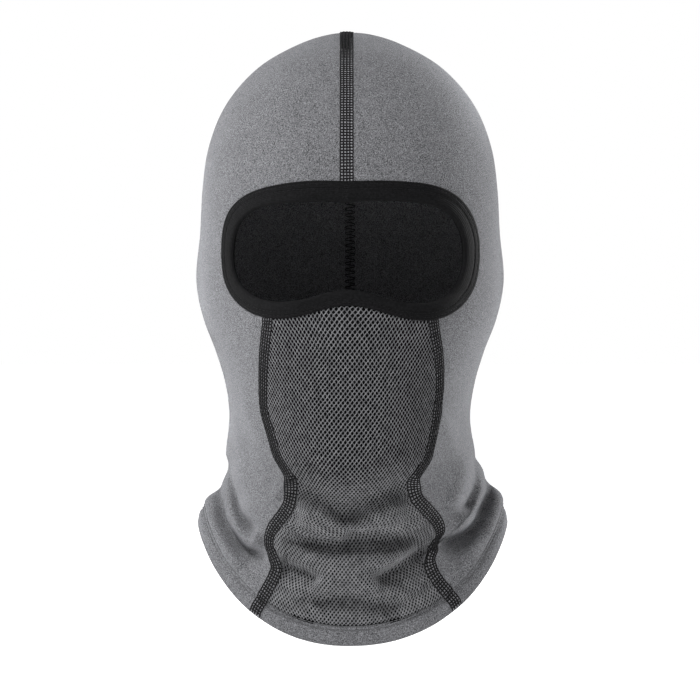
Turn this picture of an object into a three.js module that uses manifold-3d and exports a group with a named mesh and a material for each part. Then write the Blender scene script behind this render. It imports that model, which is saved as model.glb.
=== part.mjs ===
// A stretch-knit balaclava, modelled as it sits on a head: two side panels, a mesh front panel,
// a folded tape around the eye opening, and the threads that sew them together.
// Millimetres, +Z up, front faces -Y, X to the right as seen from the front.
// The origin is the midpoint between the wearer's two ear points.
import * as THREE from "three";
import { LoftGeometry } from "three/addons/geometries/LoftGeometry.js";
import { mergeVertices } from "three/addons/utils/BufferGeometryUtils.js";
import Module from "manifold-3d";

const wasm = await Module();
wasm.setup();

// ---- overall sizes of the worn hood ----
const HOOD_BREADTH = 172;
const HOOD_DEPTH = 206;
const HOOD_HEIGHT = 338;

// ---- cloth ----
const CLOTH = 1.4;
const HEM_DEPTH = 12;
const PANEL_GAP = 0.6;

// ---- eye opening, measured at the folded edge of its tape ----
const EYE_WIDTH = 123;
const EYE_TOP = 47;
const EYE_BOTTOM = -7;
const EYE_SQUARENESS = 3.6;
const NOSE_RISE = 7.5;
const NOSE_RISE_SPREAD = 16;

// ---- tape bound around the eye opening ----
const TAPE_WIDTH = 10;
const TAPE_THICKNESS = 0.9;
const TAPE_FOLD = 0.9;
const TAPE_COVER = 1.6;

// ---- flatlock seams: three needle threads under one zigzag cover thread ----
const SEAM_WIDTH = 7.6;
const NEEDLE_COUNT = 3;
const NEEDLE_PITCH = 1.7;
const THREAD_WIDTH = 0.55;
const THREAD_DEPTH = 0.3;

// ---- clearances between pieces that touch ----
const OUTER_CLEARANCE = 0.5;
const INNER_CLEARANCE = 0.8;
const THREAD_CLEARANCE = 0.3;

// ---- how finely the cloth is divided ----
const RING_POINTS = 48;
const RINGS_ABOVE_HEM = 24;

// The sizes that the station table below was drawn at. The hood scales from them.
const DRAWN = { breadth: 172, depth: 206, height: 338 };
const SCALE = new THREE.Vector3(
  HOOD_BREADTH / DRAWN.breadth,
  HOOD_DEPTH / DRAWN.depth,
  HOOD_HEIGHT / DRAWN.height
);

// Each station is one ring around the hood, given where it crosses three profiles:
// side: height, half breadth, middle y; front: height, y; back: height, y.
const STATIONS = [
  { name: "crown", side: [146, 0, 8], front: [146, 8], back: [146, 8] },
  { name: "cap", side: [143.8, 18, 8], front: [143.8, -11], back: [143.8, 28] },
  { name: "upper crown", side: [138.9, 32, 9], front: [138.9, -27], back: [138.9, 44] },
  { name: "lower crown", side: [125.4, 53.7, 10], front: [125.4, -55], back: [125.4, 66] },
  { name: "hair line", side: [105, 70.8, 11], front: [105, -76], back: [105, 84] },
  { name: "upper forehead", side: [82, 79.7, 12], front: [82, -90], back: [82, 94] },
  { name: "forehead", side: [58, 82.9, 12], front: [58, -97.5], back: [58, 98] },
  { name: "brow", side: [31, 84, 12], front: [31, -101], back: [31, 99] },
  { name: "eyes", side: [4, 84.3, 13], front: [2, -103], back: [4, 97] },
  { name: "nose", side: [-16, 82, 14], front: [-20, -106], back: [-16, 93] },
  { name: "upper lip", side: [-33, 75.5, 15], front: [-44, -107], back: [-33, 87] },
  { name: "mouth", side: [-50, 70.2, 16], front: [-70, -105], back: [-50, 81] },
  { name: "chin", side: [-68, 67.4, 16], front: [-94, -100], back: [-68, 77] },
  { name: "throat", side: [-84, 69.5, 15], front: [-118, -84], back: [-84, 77] },
  { name: "neck", side: [-100, 73.5, 14], front: [-142, -74], back: [-102, 78] },
  { name: "neck base", side: [-111, 79, 13], front: [-162, -68], back: [-116, 80] },
  { name: "hem fold", side: [-124, 85.5, 12], front: [-180, -63], back: [-126, 82] },
  { name: "hem edge", side: [-136, 87, 12], front: [-192, -60], back: [-138, 84] },
];
const LAST = STATIONS.length - 1;
const HEM_FOLD = LAST - 1;
const RING_STATIONS = [
  ...Array.from({ length: RINGS_ABOVE_HEM }, (_, i) => (i * HEM_FOLD) / RINGS_ABOVE_HEM),
  HEM_FOLD,
  LAST,
];
const SQUARENESS = 2.2;
const RING_TILT_POWER = 1.8;
const NOSE = { height: -28, reach: 9, across: 26, along: 24 };

const SIDE = new THREE.CatmullRomCurve3(
  STATIONS.map(({ side: [z, x, y] }) => new THREE.Vector3(x, y, z).multiply(SCALE))
);
const FRONT = new THREE.CatmullRomCurve3(
  STATIONS.map(({ front: [z, y] }) => new THREE.Vector3(0, y, z).multiply(SCALE))
);
const BACK = new THREE.CatmullRomCurve3(
  STATIONS.map(({ back: [z, y] }) => new THREE.Vector3(0, y, z).multiply(SCALE))
);

const signedPower = (value, power) => Math.sign(value) * Math.abs(value) ** power;

// The point of the cloth's outer face at a turn around the hood (0 at the front, +90 degrees at +X)
// and a station number, which may be fractional.
function skinPoint(turn, station) {
  const t = THREE.MathUtils.clamp(station / LAST, 0, 1);
  const side = SIDE.getPoint(t);
  const middle = (Math.cos(turn) > 0 ? FRONT : BACK).getPoint(t);
  const ahead = Math.abs(Math.cos(turn));
  const point = new THREE.Vector3(
    side.x * signedPower(Math.sin(turn), 2 / SQUARENESS),
    THREE.MathUtils.lerp(side.y, middle.y, ahead ** (2 / SQUARENESS)),
    THREE.MathUtils.lerp(side.z, middle.z, ahead ** RING_TILT_POWER)
  );
  if (Math.cos(turn) > 0) point.y -= noseReach(point);
  return point;
}

// The cloth's extra reach where it is stretched over the nose.
function noseReach(point) {
  const across = point.x / (NOSE.across * SCALE.x);
  const along = (point.z - NOSE.height * SCALE.z) / (NOSE.along * SCALE.z);
  return NOSE.reach * SCALE.y * Math.exp(-(across ** 2) - along ** 2);
}

// Steps of the skin point for a small change of turn and of station.
function skinSlopes(turn, station) {
  const d = 0.01;
  const low = Math.max(station - d, 0);
  const high = Math.min(station + d, LAST);
  const around = skinPoint(turn + d, station).sub(skinPoint(turn - d, station)).divideScalar(2 * d);
  const down = skinPoint(turn, high).sub(skinPoint(turn, low)).divideScalar(high - low);
  return { around, down };
}

// The outward direction of the cloth. The crown's own direction is straight up.
function skinNormal(turn, station) {
  if (station < 0.05) return new THREE.Vector3(0, 0, 1);
  const { around, down } = skinSlopes(turn, station);
  return down.cross(around).normalize();
}

// A point at a height above the cloth's outer face: negative heights are inside it.
function liftedPoint({ turn, station }, lift) {
  return skinPoint(turn, station).addScaledVector(skinNormal(turn, station), lift);
}

// The place on the front of the cloth that lies straight behind a point (x, z) of the front view.
function placeBehind(x, z) {
  const place = { turn: Math.asin(THREE.MathUtils.clamp(x / (0.53 * HOOD_BREADTH), -0.95, 0.95)), station: 8 };
  for (let pass = 0; pass < 30; pass++) {
    const miss = new THREE.Vector3(x, 0, z).sub(skinPoint(place.turn, place.station));
    const { around, down } = skinSlopes(place.turn, place.station);
    const area = around.x * down.z - around.z * down.x;
    const turnStep = (miss.x * down.z - miss.z * down.x) / area;
    const stationStep = (around.x * miss.z - around.z * miss.x) / area;
    place.turn += THREE.MathUtils.clamp(turnStep, -0.2, 0.2);
    place.station = THREE.MathUtils.clamp(place.station + THREE.MathUtils.clamp(stationStep, -1, 1), 0, LAST);
  }
  return place;
}

// Walks over the cloth from a place, in a direction, for a distance measured along the cloth.
function walk(place, direction, distance) {
  const steps = 4;
  const next = { ...place };
  for (let i = 0; i < steps; i++) {
    const { around, down } = skinSlopes(next.turn, next.station);
    const aa = around.dot(around);
    const ad = around.dot(down);
    const dd = down.dot(down);
    const scale = distance / steps / (aa * dd - ad * ad);
    const a = around.dot(direction);
    const d = down.dot(direction);
    next.turn += (a * dd - d * ad) * scale;
    next.station += (d * aa - a * ad) * scale;
  }
  return next;
}

// ---- solids ----

// A closed body from a three.js geometry, with its shared vertices merged and its faces outward.
function solid(geometry) {
  const plain = new THREE.BufferGeometry().copy(geometry);
  for (const name of ["normal", "uv"]) plain.deleteAttribute(name);
  const merged = mergeVertices(plain, 1e-4);
  const index = [...merged.index.array];
  const faces = [];
  for (let i = 0; i < index.length; i += 3) {
    const [a, b, c] = index.slice(i, i + 3);
    if (a !== b && b !== c && c !== a) faces.push(a, b, c);
  }
  const build = (triangles) =>
    new wasm.Manifold(
      new wasm.Mesh({
        numProp: 3,
        vertProperties: new Float32Array(merged.attributes.position.array),
        triVerts: new Uint32Array(triangles),
      })
    );
  const body = build(faces);
  return body.volume() > 0 ? body : build(faces.reverse());
}

function geometryOf(body) {
  const { vertProperties, triVerts } = body.getMesh();
  const geometry = new THREE.BufferGeometry();
  geometry.setAttribute("position", new THREE.BufferAttribute(new Float32Array(vertProperties), 3));
  geometry.setIndex(new THREE.BufferAttribute(new Uint32Array(triVerts), 1));
  geometry.computeVertexNormals();
  return geometry;
}

// A prism that stands on a front-view outline and reaches from the hood's middle out past the nose.
function frontPrism(outline) {
  const depth = 1.2 * HOOD_DEPTH;
  const prism = new THREE.ExtrudeGeometry(new THREE.Shape(outline), { depth, bevelEnabled: false });
  prism.rotateX(Math.PI / 2);
  return solid(prism);
}

function block(low, high) {
  const size = new THREE.Vector3().subVectors(high, low);
  const box = new THREE.BoxGeometry(size.x, size.y, size.z);
  box.translate((low.x + high.x) / 2, (low.y + high.y) / 2, (low.z + high.z) / 2);
  return solid(box);
}

// ---- the whole cloth skin ----

// One ring of points on the cloth at a station, at a height above its outer face.
function clothRing(station, lift) {
  const ring = [];
  for (let i = 0; i < RING_POINTS; i++) {
    const turn = (2 * Math.PI * i) / RING_POINTS;
    ring.push(liftedPoint({ turn, station }, lift));
  }
  return ring;
}

// The outer face runs from the crown to the hem edge, and the inner face returns from it.
// Below the hem fold the cloth is turned up, so it is doubled there.
function clothShell() {
  const foldStep = 0.02;
  const outer = RING_STATIONS.map((station) => clothRing(station, 0));
  const doubled = [HEM_FOLD + foldStep, LAST].map((station) => clothRing(station, -2 * CLOTH));
  const single = RING_STATIONS.slice(0, -1).map((station) => clothRing(station, -CLOTH));
  return solid(new LoftGeometry([...outer, ...doubled.reverse(), ...single.reverse()], { closed: true }));
}

// ---- outlines in the front view ----

// The eye opening: a rounded oblong whose lower edge rises over the nose.
function eyeOutline(grow, count) {
  const half = EYE_WIDTH / 2 + grow;
  const middle = (EYE_TOP + EYE_BOTTOM) / 2;
  const reach = (EYE_TOP - EYE_BOTTOM) / 2 + grow;
  const points = [];
  for (let i = 0; i <= 120; i++) {
    const phase = (2 * Math.PI * i) / 120;
    const x = half * signedPower(Math.cos(phase), 2 / EYE_SQUARENESS);
    const rise = Math.sin(phase) < 0 ? NOSE_RISE * Math.exp(-((x / NOSE_RISE_SPREAD) ** 2)) : 0;
    points.push(new THREE.Vector2(x, middle + reach * signedPower(Math.sin(phase), 2 / EYE_SQUARENESS) + rise));
  }
  return new THREE.SplineCurve(points).getSpacedPoints(count).slice(0, count);
}

// The seam between the mesh front and a side panel, from inside the eye tape to below the hem:
// half width of the mesh panel and height.
const FACE_SEAM = new THREE.SplineCurve(
  [
    [43, 8],
    [44.5, -16],
    [47, -38],
    [46.5, -62],
    [42, -84],
    [37, -103],
    [39, -122],
    [43, -140],
    [48, -158],
    [55.5, -176],
    [62, -196],
  ].map(([x, z]) => new THREE.Vector2(x * SCALE.x, z * SCALE.z))
);

function meshPanelOutline(grow) {
  const right = FACE_SEAM.getSpacedPoints(40).map(({ x, y }) => new THREE.Vector2(x + grow, y));
  const left = right.map(({ x, y }) => new THREE.Vector2(-x, y)).reverse();
  return [...right, ...left];
}

// ---- cloth panels ----

function clothPanels() {
  const shell = clothShell();
  const eye = frontPrism(eyeOutline(TAPE_COVER, 96));
  const opened = shell.subtract(eye);
  const far = 2 * HOOD_HEIGHT;
  const rightSide = block(new THREE.Vector3(PANEL_GAP / 2, -far, -far), new THREE.Vector3(far, far, far));
  const leftSide = block(new THREE.Vector3(-far, -far, -far), new THREE.Vector3(-PANEL_GAP / 2, far, far));
  const sides = opened.subtract(frontPrism(meshPanelOutline(PANEL_GAP / 2)));
  return {
    front: opened.intersect(frontPrism(meshPanelOutline(-PANEL_GAP / 2))),
    left: sides.intersect(leftSide),
    right: sides.intersect(rightSide),
  };
}

// ---- strips that lie on the cloth: tape and threads ----

// A strip's cross sections. Each station of the path is a function that returns the point at a
// distance across the path and a height above the cloth. The profile lists [across, height].
function stripSolid(path, profile, closed) {
  const sections = path.map((at) => profile.map(([across, lift]) => at(across, lift)));
  if (closed) sections.push([...sections[0]]);
  if (!facesAlong(sections)) for (const section of sections) section.reverse();
  return solid(new LoftGeometry(sections, { closed: true, capStart: !closed, capEnd: !closed }));
}

// Whether the first section's own direction, by its winding, points on along the strip.
function facesAlong([first, second]) {
  const [a, b, c] = first;
  const facing = new THREE.Triangle(a, b, c).getNormal(new THREE.Vector3());
  return facing.dot(new THREE.Vector3().subVectors(second[0], a)) > 0;
}

const flatProfile = (across, width, low, thickness) => [
  [across - width / 2, low],
  [across + width / 2, low],
  [across + width / 2, low + thickness],
  [across - width / 2, low + thickness],
];

// Turns places on the cloth into path stations: across points to the left of the way along.
function pathOver(places, closed) {
  const points = places.map(({ turn, station }) => skinPoint(turn, station));
  const count = points.length;
  return places.map((place, i) => {
    const before = closed ? (i + count - 1) % count : Math.max(i - 1, 0);
    const after = closed ? (i + 1) % count : Math.min(i + 1, count - 1);
    const along = new THREE.Vector3().subVectors(points[after], points[before]).normalize();
    const sideways = skinNormal(place.turn, place.station).cross(along).normalize();
    return (across, lift) => liftedPoint(walk(place, sideways, across), lift);
  });
}

// The middle line of the hood, over the crown, with a path station at each of the cloth's own rings.
// Straight across it, the cloth falls away a little.
function medianPath(first, last) {
  const over = RING_STATIONS.filter((station) => station < first).reverse();
  const behind = RING_STATIONS.filter((station) => station > 0 && station < last);
  return [
    { turn: 0, station: first },
    ...over.map((station) => ({ turn: 0, station })),
    ...behind.map((station) => ({ turn: Math.PI, station })),
    { turn: Math.PI, station: last },
  ].map(medianStation);
}

function medianStation({ turn, station }) {
  const point = skinPoint(turn, station);
  const normal = skinNormal(turn, station).setX(0).normalize();
  return (across, lift) =>
    point.clone().setX(across).addScaledVector(normal, lift - across ** 2 / HOOD_BREADTH);
}

// ---- eye tape ----

// The tape's section: a U folded over the cloth's cut edge, one leaf on each face of the cloth.
function tapeProfile() {
  const top = OUTER_CLEARANCE + TAPE_THICKNESS;
  const inside = -CLOTH - INNER_CLEARANCE;
  const bottom = inside - TAPE_THICKNESS;
  return [
    [TAPE_WIDTH, OUTER_CLEARANCE],
    [TAPE_WIDTH, top],
    [0, top],
    [-TAPE_FOLD, top / 2],
    [-TAPE_FOLD, bottom / 2],
    [0, bottom],
    [TAPE_WIDTH, bottom],
    [TAPE_WIDTH, inside],
    [TAPE_COVER - 0.8, inside],
    [TAPE_COVER - 0.8, OUTER_CLEARANCE],
  ];
}

function eyePath(count) {
  const places = eyeOutline(0, count).map(({ x, y }) => placeBehind(x, y));
  return pathOver(places.reverse(), true);
}

// ---- threads ----

const needleOffsets = Array.from(
  { length: NEEDLE_COUNT },
  (_, i) => (i - (NEEDLE_COUNT - 1) / 2) * NEEDLE_PITCH
);

// The five threads of one flatlock seam, by name.
function flatlockThreads(name, outerPath, innerPath) {
  const coverHeight = OUTER_CLEARANCE + THREAD_DEPTH + THREAD_CLEARANCE;
  const inner = -CLOTH - INNER_CLEARANCE - THREAD_DEPTH;
  const threads = {};
  needleOffsets.forEach((across, i) => {
    const profile = flatProfile(across, THREAD_WIDTH, OUTER_CLEARANCE, THREAD_DEPTH);
    threads[`${name}_needle_thread_${i + 1}`] = stripSolid(outerPath, profile, false);
  });
  const cover = flatProfile(0, SEAM_WIDTH, coverHeight, THREAD_DEPTH);
  threads[`${name}_cover_thread`] = stripSolid(outerPath, cover, false);
  const looper = flatProfile(0, SEAM_WIDTH - NEEDLE_PITCH, inner, THREAD_DEPTH);
  threads[`${name}_looper_thread`] = stripSolid(innerPath, looper, false);
  return threads;
}

// The crown seam runs from the eye tape over the crown and down the back to the hem.
function crownSeamThreads() {
  const tapeTop = placeBehind(0, EYE_TOP);
  const start = walk(tapeTop, new THREE.Vector3(0, 0, 1), TAPE_WIDTH + 1).station;
  return flatlockThreads(
    "crown_seam",
    medianPath(start, LAST - 0.05),
    medianPath(start, HEM_FOLD - 0.1)
  );
}

// A face seam runs from the eye tape's lower edge down to the hem, mirrored for the left side.
function faceSeamThreads(name, mirror) {
  const along = FACE_SEAM.getSpacedPoints(60).filter(({ y }) => y < EYE_BOTTOM - 1.12 * TAPE_WIDTH);
  const places = along.map(({ x, y }) => placeBehind(mirror * x, y));
  const everyThird = (list) => list.filter((_, i) => i % 3 === 0);
  const outer = everyThird(places.filter(({ station }) => station < LAST - 0.05));
  const inner = everyThird(places.filter(({ station }) => station < HEM_FOLD - 0.1));
  return flatlockThreads(name, pathOver(outer, false), pathOver(inner, false));
}

// The hem's cover stitch: two needle threads outside, one looper thread over the cloth's edge inside.
function hemThreads() {
  const aboveSeams = OUTER_CLEARANCE + 2 * THREAD_DEPTH + 2 * THREAD_CLEARANCE;
  const hemRing = (height) => {
    const station = LAST - height / HEM_DEPTH;
    const places = Array.from({ length: RING_POINTS }, (_, i) => ({ turn: (2 * Math.PI * i) / RING_POINTS, station }));
    return pathOver(places, true);
  };
  const row = (height, low) => stripSolid(hemRing(height), flatProfile(0, THREAD_WIDTH, low, THREAD_DEPTH), true);
  const underside = -2 * CLOTH - INNER_CLEARANCE - THREAD_DEPTH;
  const looper = flatProfile(0, 4, underside, THREAD_DEPTH);
  return {
    hem_needle_thread_upper: row(10, aboveSeams),
    hem_needle_thread_lower: row(7.8, aboveSeams),
    hem_looper_thread: stripSolid(hemRing(9), looper, true),
  };
}

// The tape's two needle threads, its inner looper thread, and the bar of stitches over its join.
function tapeThreads(path) {
  const outside = OUTER_CLEARANCE + TAPE_THICKNESS + THREAD_CLEARANCE;
  const inside = -CLOTH - INNER_CLEARANCE - TAPE_THICKNESS - THREAD_CLEARANCE - THREAD_DEPTH;
  const row = (across) => stripSolid(path, flatProfile(across, THREAD_WIDTH, outside, THREAD_DEPTH), true);
  const joinHeight = outside + THREAD_DEPTH + THREAD_CLEARANCE;
  const tapeEdge = placeBehind(0, EYE_TOP);
  const joinPath = [0, TAPE_WIDTH - 0.6].map((distance) =>
    medianStation(walk(tapeEdge, new THREE.Vector3(0, 0, 1), distance))
  );
  return {
    eye_tape_needle_thread_outer: row(TAPE_WIDTH - 1.6),
    eye_tape_needle_thread_inner: row(TAPE_WIDTH - 3.8),
    eye_tape_looper_thread: stripSolid(path, flatProfile(TAPE_WIDTH - 2.7, 3, inside, THREAD_DEPTH), true),
    eye_tape_join_stitches: stripSolid(joinPath, flatProfile(0, 1.6, joinHeight, THREAD_DEPTH), false),
  };
}

// ---- materials and assembly ----

const HEATHER_GREY = { color: 0x84868b, roughness: 0.95, metalness: 0 };
const MESH_GREY = { color: 0x5f6166, roughness: 0.9, metalness: 0 };
const BLACK_TAPE = { color: 0x161617, roughness: 0.85, metalness: 0 };
const BLACK_THREAD = { color: 0x141415, roughness: 0.6, metalness: 0 };
const GREY_THREAD = { color: 0x6d6f74, roughness: 0.65, metalness: 0 };

function buildBalaclava() {
  const balaclava = new THREE.Group();
  const add = (name, body, look) => {
    const mesh = new THREE.Mesh(geometryOf(body), new THREE.MeshStandardMaterial(look));
    mesh.name = name;
    balaclava.add(mesh);
  };
  const addAll = (bodies, look) => {
    for (const [name, body] of Object.entries(bodies)) add(name, body, look);
  };

  const panels = clothPanels();
  add("left_side_panel", panels.left, HEATHER_GREY);
  add("right_side_panel", panels.right, HEATHER_GREY);
  add("front_mesh_panel", panels.front, MESH_GREY);

  const tapePath = eyePath(48);
  add("eye_tape", stripSolid(tapePath, tapeProfile(), true), BLACK_TAPE);
  addAll(tapeThreads(tapePath), BLACK_THREAD);

  addAll(crownSeamThreads(), BLACK_THREAD);
  addAll(faceSeamThreads("left_face_seam", -1), BLACK_THREAD);
  addAll(faceSeamThreads("right_face_seam", 1), BLACK_THREAD);
  addAll(hemThreads(), GREY_THREAD);
  return balaclava;
}

export default buildBalaclava();
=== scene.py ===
# %% [markdown]
# # A balaclava, pulled over a head
#
# The object is a thin stretch-knit hood. Two side panels meet in a seam over the crown, a mesh panel
# covers nose, mouth and throat, a black tape is folded round the eye opening, and the lower edge is
# turned up into a hem. The cloth has almost no shape of its own: on the head it is pulled smooth,
# and below the chin, where nothing stretches it, it sinks into soft folds.
#
# The whole lesson is built on one surface. First comes the smooth surface of the stretched hood,
# then the folds are pressed into it, and then every piece is laid on the result: the panels,
# the net of the mesh, the tape, and each thread of each seam.
#
# Sizes are in millimetres until a mesh is made, because a maker thinks in millimetres.

# %% Start
import math

import bpy
import numpy as np
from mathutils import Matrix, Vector, kdtree


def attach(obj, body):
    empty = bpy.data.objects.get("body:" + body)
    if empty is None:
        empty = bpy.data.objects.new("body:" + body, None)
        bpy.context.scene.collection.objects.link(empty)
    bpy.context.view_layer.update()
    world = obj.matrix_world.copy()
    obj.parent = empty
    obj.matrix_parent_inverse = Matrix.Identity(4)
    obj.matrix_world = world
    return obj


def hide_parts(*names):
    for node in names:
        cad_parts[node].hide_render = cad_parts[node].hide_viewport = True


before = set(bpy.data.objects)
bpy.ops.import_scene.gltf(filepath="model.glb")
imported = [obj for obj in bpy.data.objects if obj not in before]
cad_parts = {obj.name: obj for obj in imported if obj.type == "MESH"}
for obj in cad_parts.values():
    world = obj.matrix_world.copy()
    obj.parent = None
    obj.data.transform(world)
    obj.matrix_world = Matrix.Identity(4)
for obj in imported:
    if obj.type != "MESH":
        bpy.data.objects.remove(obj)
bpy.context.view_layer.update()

MM = 0.001
print("nodes in the frame:", len(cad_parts))

# %% [markdown]
# ## The stretched hood
#
# A hood on a head is a stack of rings, from the crown down to the hem. Each ring is named by where it
# crosses the side, the front and the back. Curves through those crossings give every ring between.
# Lower rings tilt: the hem hangs lowest on the chest.

# %% Rings and the curves through them
# side: height, half breadth, middle y;  front: height, y;  back: height, y
STATIONS = [
    ((146, 0, 8), (146, 8), (146, 8)),
    ((143.8, 14, 8), (143.8, -11), (143.8, 28)),
    ((138.9, 28.6, 9), (138.9, -27), (138.9, 44)),
    ((125.4, 51.7, 10), (125.4, -55), (125.4, 66)),
    ((105, 69.5, 11), (105, -76), (105, 84)),
    ((82, 79, 12), (82, -90), (82, 94)),
    ((58, 82.6, 12), (58, -97.5), (58, 98)),
    ((31, 83.6, 12), (31, -101), (31, 99)),
    ((4, 83.8, 13), (2, -103), (4, 97)),
    ((-16, 81, 14), (-20, -106), (-16, 93)),
    ((-33, 75, 15), (-44, -107), (-33, 87)),
    ((-50, 70, 16), (-70, -105), (-50, 81)),
    ((-68, 67.4, 16), (-94, -100), (-68, 77)),
    ((-84, 69, 15), (-118, -84), (-84, 77)),
    ((-99, 70.6, 14), (-142, -74), (-102, 78)),
    ((-108, 73.8, 13), (-162, -68), (-116, 80)),
    ((-117.5, 81.6, 12), (-180, -63), (-126, 82)),
    ((-128, 85.4, 12), (-192, -60), (-138, 84)),
]
SQUARENESS = 2.2
RING_TILT = 1.8
HEM_TILT = 1.2
ROUNDING = 0.16
LAST_RING = len(STATIONS) - 1
BROW_RING = 7.0
TILTED_RINGS = 4


def unit(v):
    """The same directions with length one."""
    return v / np.maximum(np.linalg.norm(v, axis=-1, keepdims=True), 1e-9)


def measure_along(points):
    """How far each point lies along the line, from its start."""
    return np.concatenate([[0], np.cumsum(np.linalg.norm(np.diff(points, axis=0), axis=1))])


def smooth_curve(points, t):
    """A centripetal Catmull-Rom curve through points, read at fractional indices t."""
    p = np.asarray(points, float)
    p = np.vstack([2 * p[0] - p[1], p, 2 * p[-1] - p[-2]])
    i = np.clip(np.floor(t).astype(int), 0, len(p) - 4)
    w = (t - i)[:, None]
    p0, p1, p2, p3 = p[i], p[i + 1], p[i + 2], p[i + 3]
    pairs = ((p0, p1), (p1, p2), (p2, p3))
    d0, d1, d2 = (np.maximum(np.linalg.norm(b - a, axis=1), 1e-6)[:, None] ** 0.5 for a, b in pairs)
    m1 = ((p1 - p0) / d0 - (p2 - p0) / (d0 + d1) + (p2 - p1) / d1) * d1
    m2 = ((p2 - p1) / d1 - (p3 - p1) / (d1 + d2) + (p3 - p2) / d2) * d1
    return p1 + m1 * w + (3 * (p2 - p1) - 2 * m1 - m2) * w**2 + (2 * (p1 - p2) + m1 + m2) * w**3


def hood_rings(turns, rings):
    """Points of the stretched hood: one row per ring, one column per turn around it."""
    side, front, back = (smooth_curve([s[k] for s in STATIONS], rings) for k in range(3))
    ahead = np.abs(np.cos(turns))[None, :]
    facing = (np.cos(turns) > 0)[None, :]
    middle_z = np.where(facing, front[:, :1], back[:, :1])
    middle_y = np.where(facing, front[:, 1:], back[:, 1:])
    sine = np.sin(turns)[None, :]
    x = side[:, 1:2] * np.sign(sine) * np.abs(sine) ** (2 / SQUARENESS)
    y = side[:, 2:] + (middle_y - side[:, 2:]) * ahead ** (2 / SQUARENESS)
    low = np.clip((rings - (LAST_RING - TILTED_RINGS)) / TILTED_RINGS, 0, 1)[:, None]
    # rounded where front and back meet, so that the hem has no corner at the side
    tilted = (np.sqrt(ahead**2 + ROUNDING**2) - ROUNDING) / (math.sqrt(1 + ROUNDING**2) - ROUNDING)
    z = side[:, :1] + (middle_z - side[:, :1]) * ((1 - low) * ahead**RING_TILT + low * tilted**HEM_TILT)
    return np.stack([x, y, z], axis=2)


# %% [markdown]
# A fine grid stands for the cloth. Its columns are evenly spaced around the brow and its rows are
# evenly spaced down the front, so that one step is a little over a millimetre everywhere.

# %% The grid of the cloth
COLUMNS = 480
ROWS = 330


def even_steps(parameter, points, count, closed):
    """Values of the parameter that are evenly spaced along the points."""
    length = measure_along(points)
    ends = np.linspace(0, length[-1], count + 1 if closed else count)
    values = np.interp(ends, length, parameter)
    return values[:-1] if closed else values


fine_turns = np.linspace(-math.pi, math.pi, 4001)
brow = hood_rings(fine_turns, np.array([BROW_RING]))[0]
TURNS = even_steps(fine_turns, brow, COLUMNS, closed=True)
fine_rings = np.linspace(0, LAST_RING, 2001)
front_line = hood_rings(np.array([0.0]), fine_rings)[:, 0]
side_line = hood_rings(np.array([math.pi / 2]), fine_rings)[:, 0]
RINGS = even_steps(fine_rings, 0.75 * front_line + 0.25 * side_line, ROWS, closed=False)
stretched = hood_rings(TURNS, RINGS)
FRONT = COLUMNS // 2
step_down = measure_along(stretched[:, FRONT])[-1] / ROWS
print("grid", stretched.shape, "step down the front", round(step_down, 2), "mm")


# %% [markdown]
# The folds are drawn in front view, the way a cutter chalks them on the cloth: as seen from two
# metres away, in millimetres at the depth of the eyes.

# %% The front view
VIEW_DISTANCE = 2000.0
EYE_PLANE = -95.0
VIEW_HEIGHT = -32.0


def front_view(points):
    """Where points show in the front view."""
    nearness = 1 + (points[..., 1] - EYE_PLANE) / VIEW_DISTANCE
    z = (points[..., 2] - VIEW_HEIGHT) / nearness + VIEW_HEIGHT
    return np.stack([points[..., 0] / nearness, z], axis=-1)


def normals_of(grid):
    """Outward directions of a grid that closes on itself around its columns."""
    n = unit(np.cross(np.gradient(grid, axis=0), np.roll(grid, -1, axis=1) - np.roll(grid, 1, axis=1)))
    n[0] = (0, 0, 1)  # the top of the hood is a single point
    return n


# %% [markdown]
# ## Pressing the folds in
#
# A crease is a sharp valley between soft rolls. Each one is a stroke: a line, a height (a valley is
# negative) and how far it spreads to each side. Loose knit also ripples a little everywhere below
# the chin, and the cloth bulges over the nose, the chin and the ears.

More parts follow.
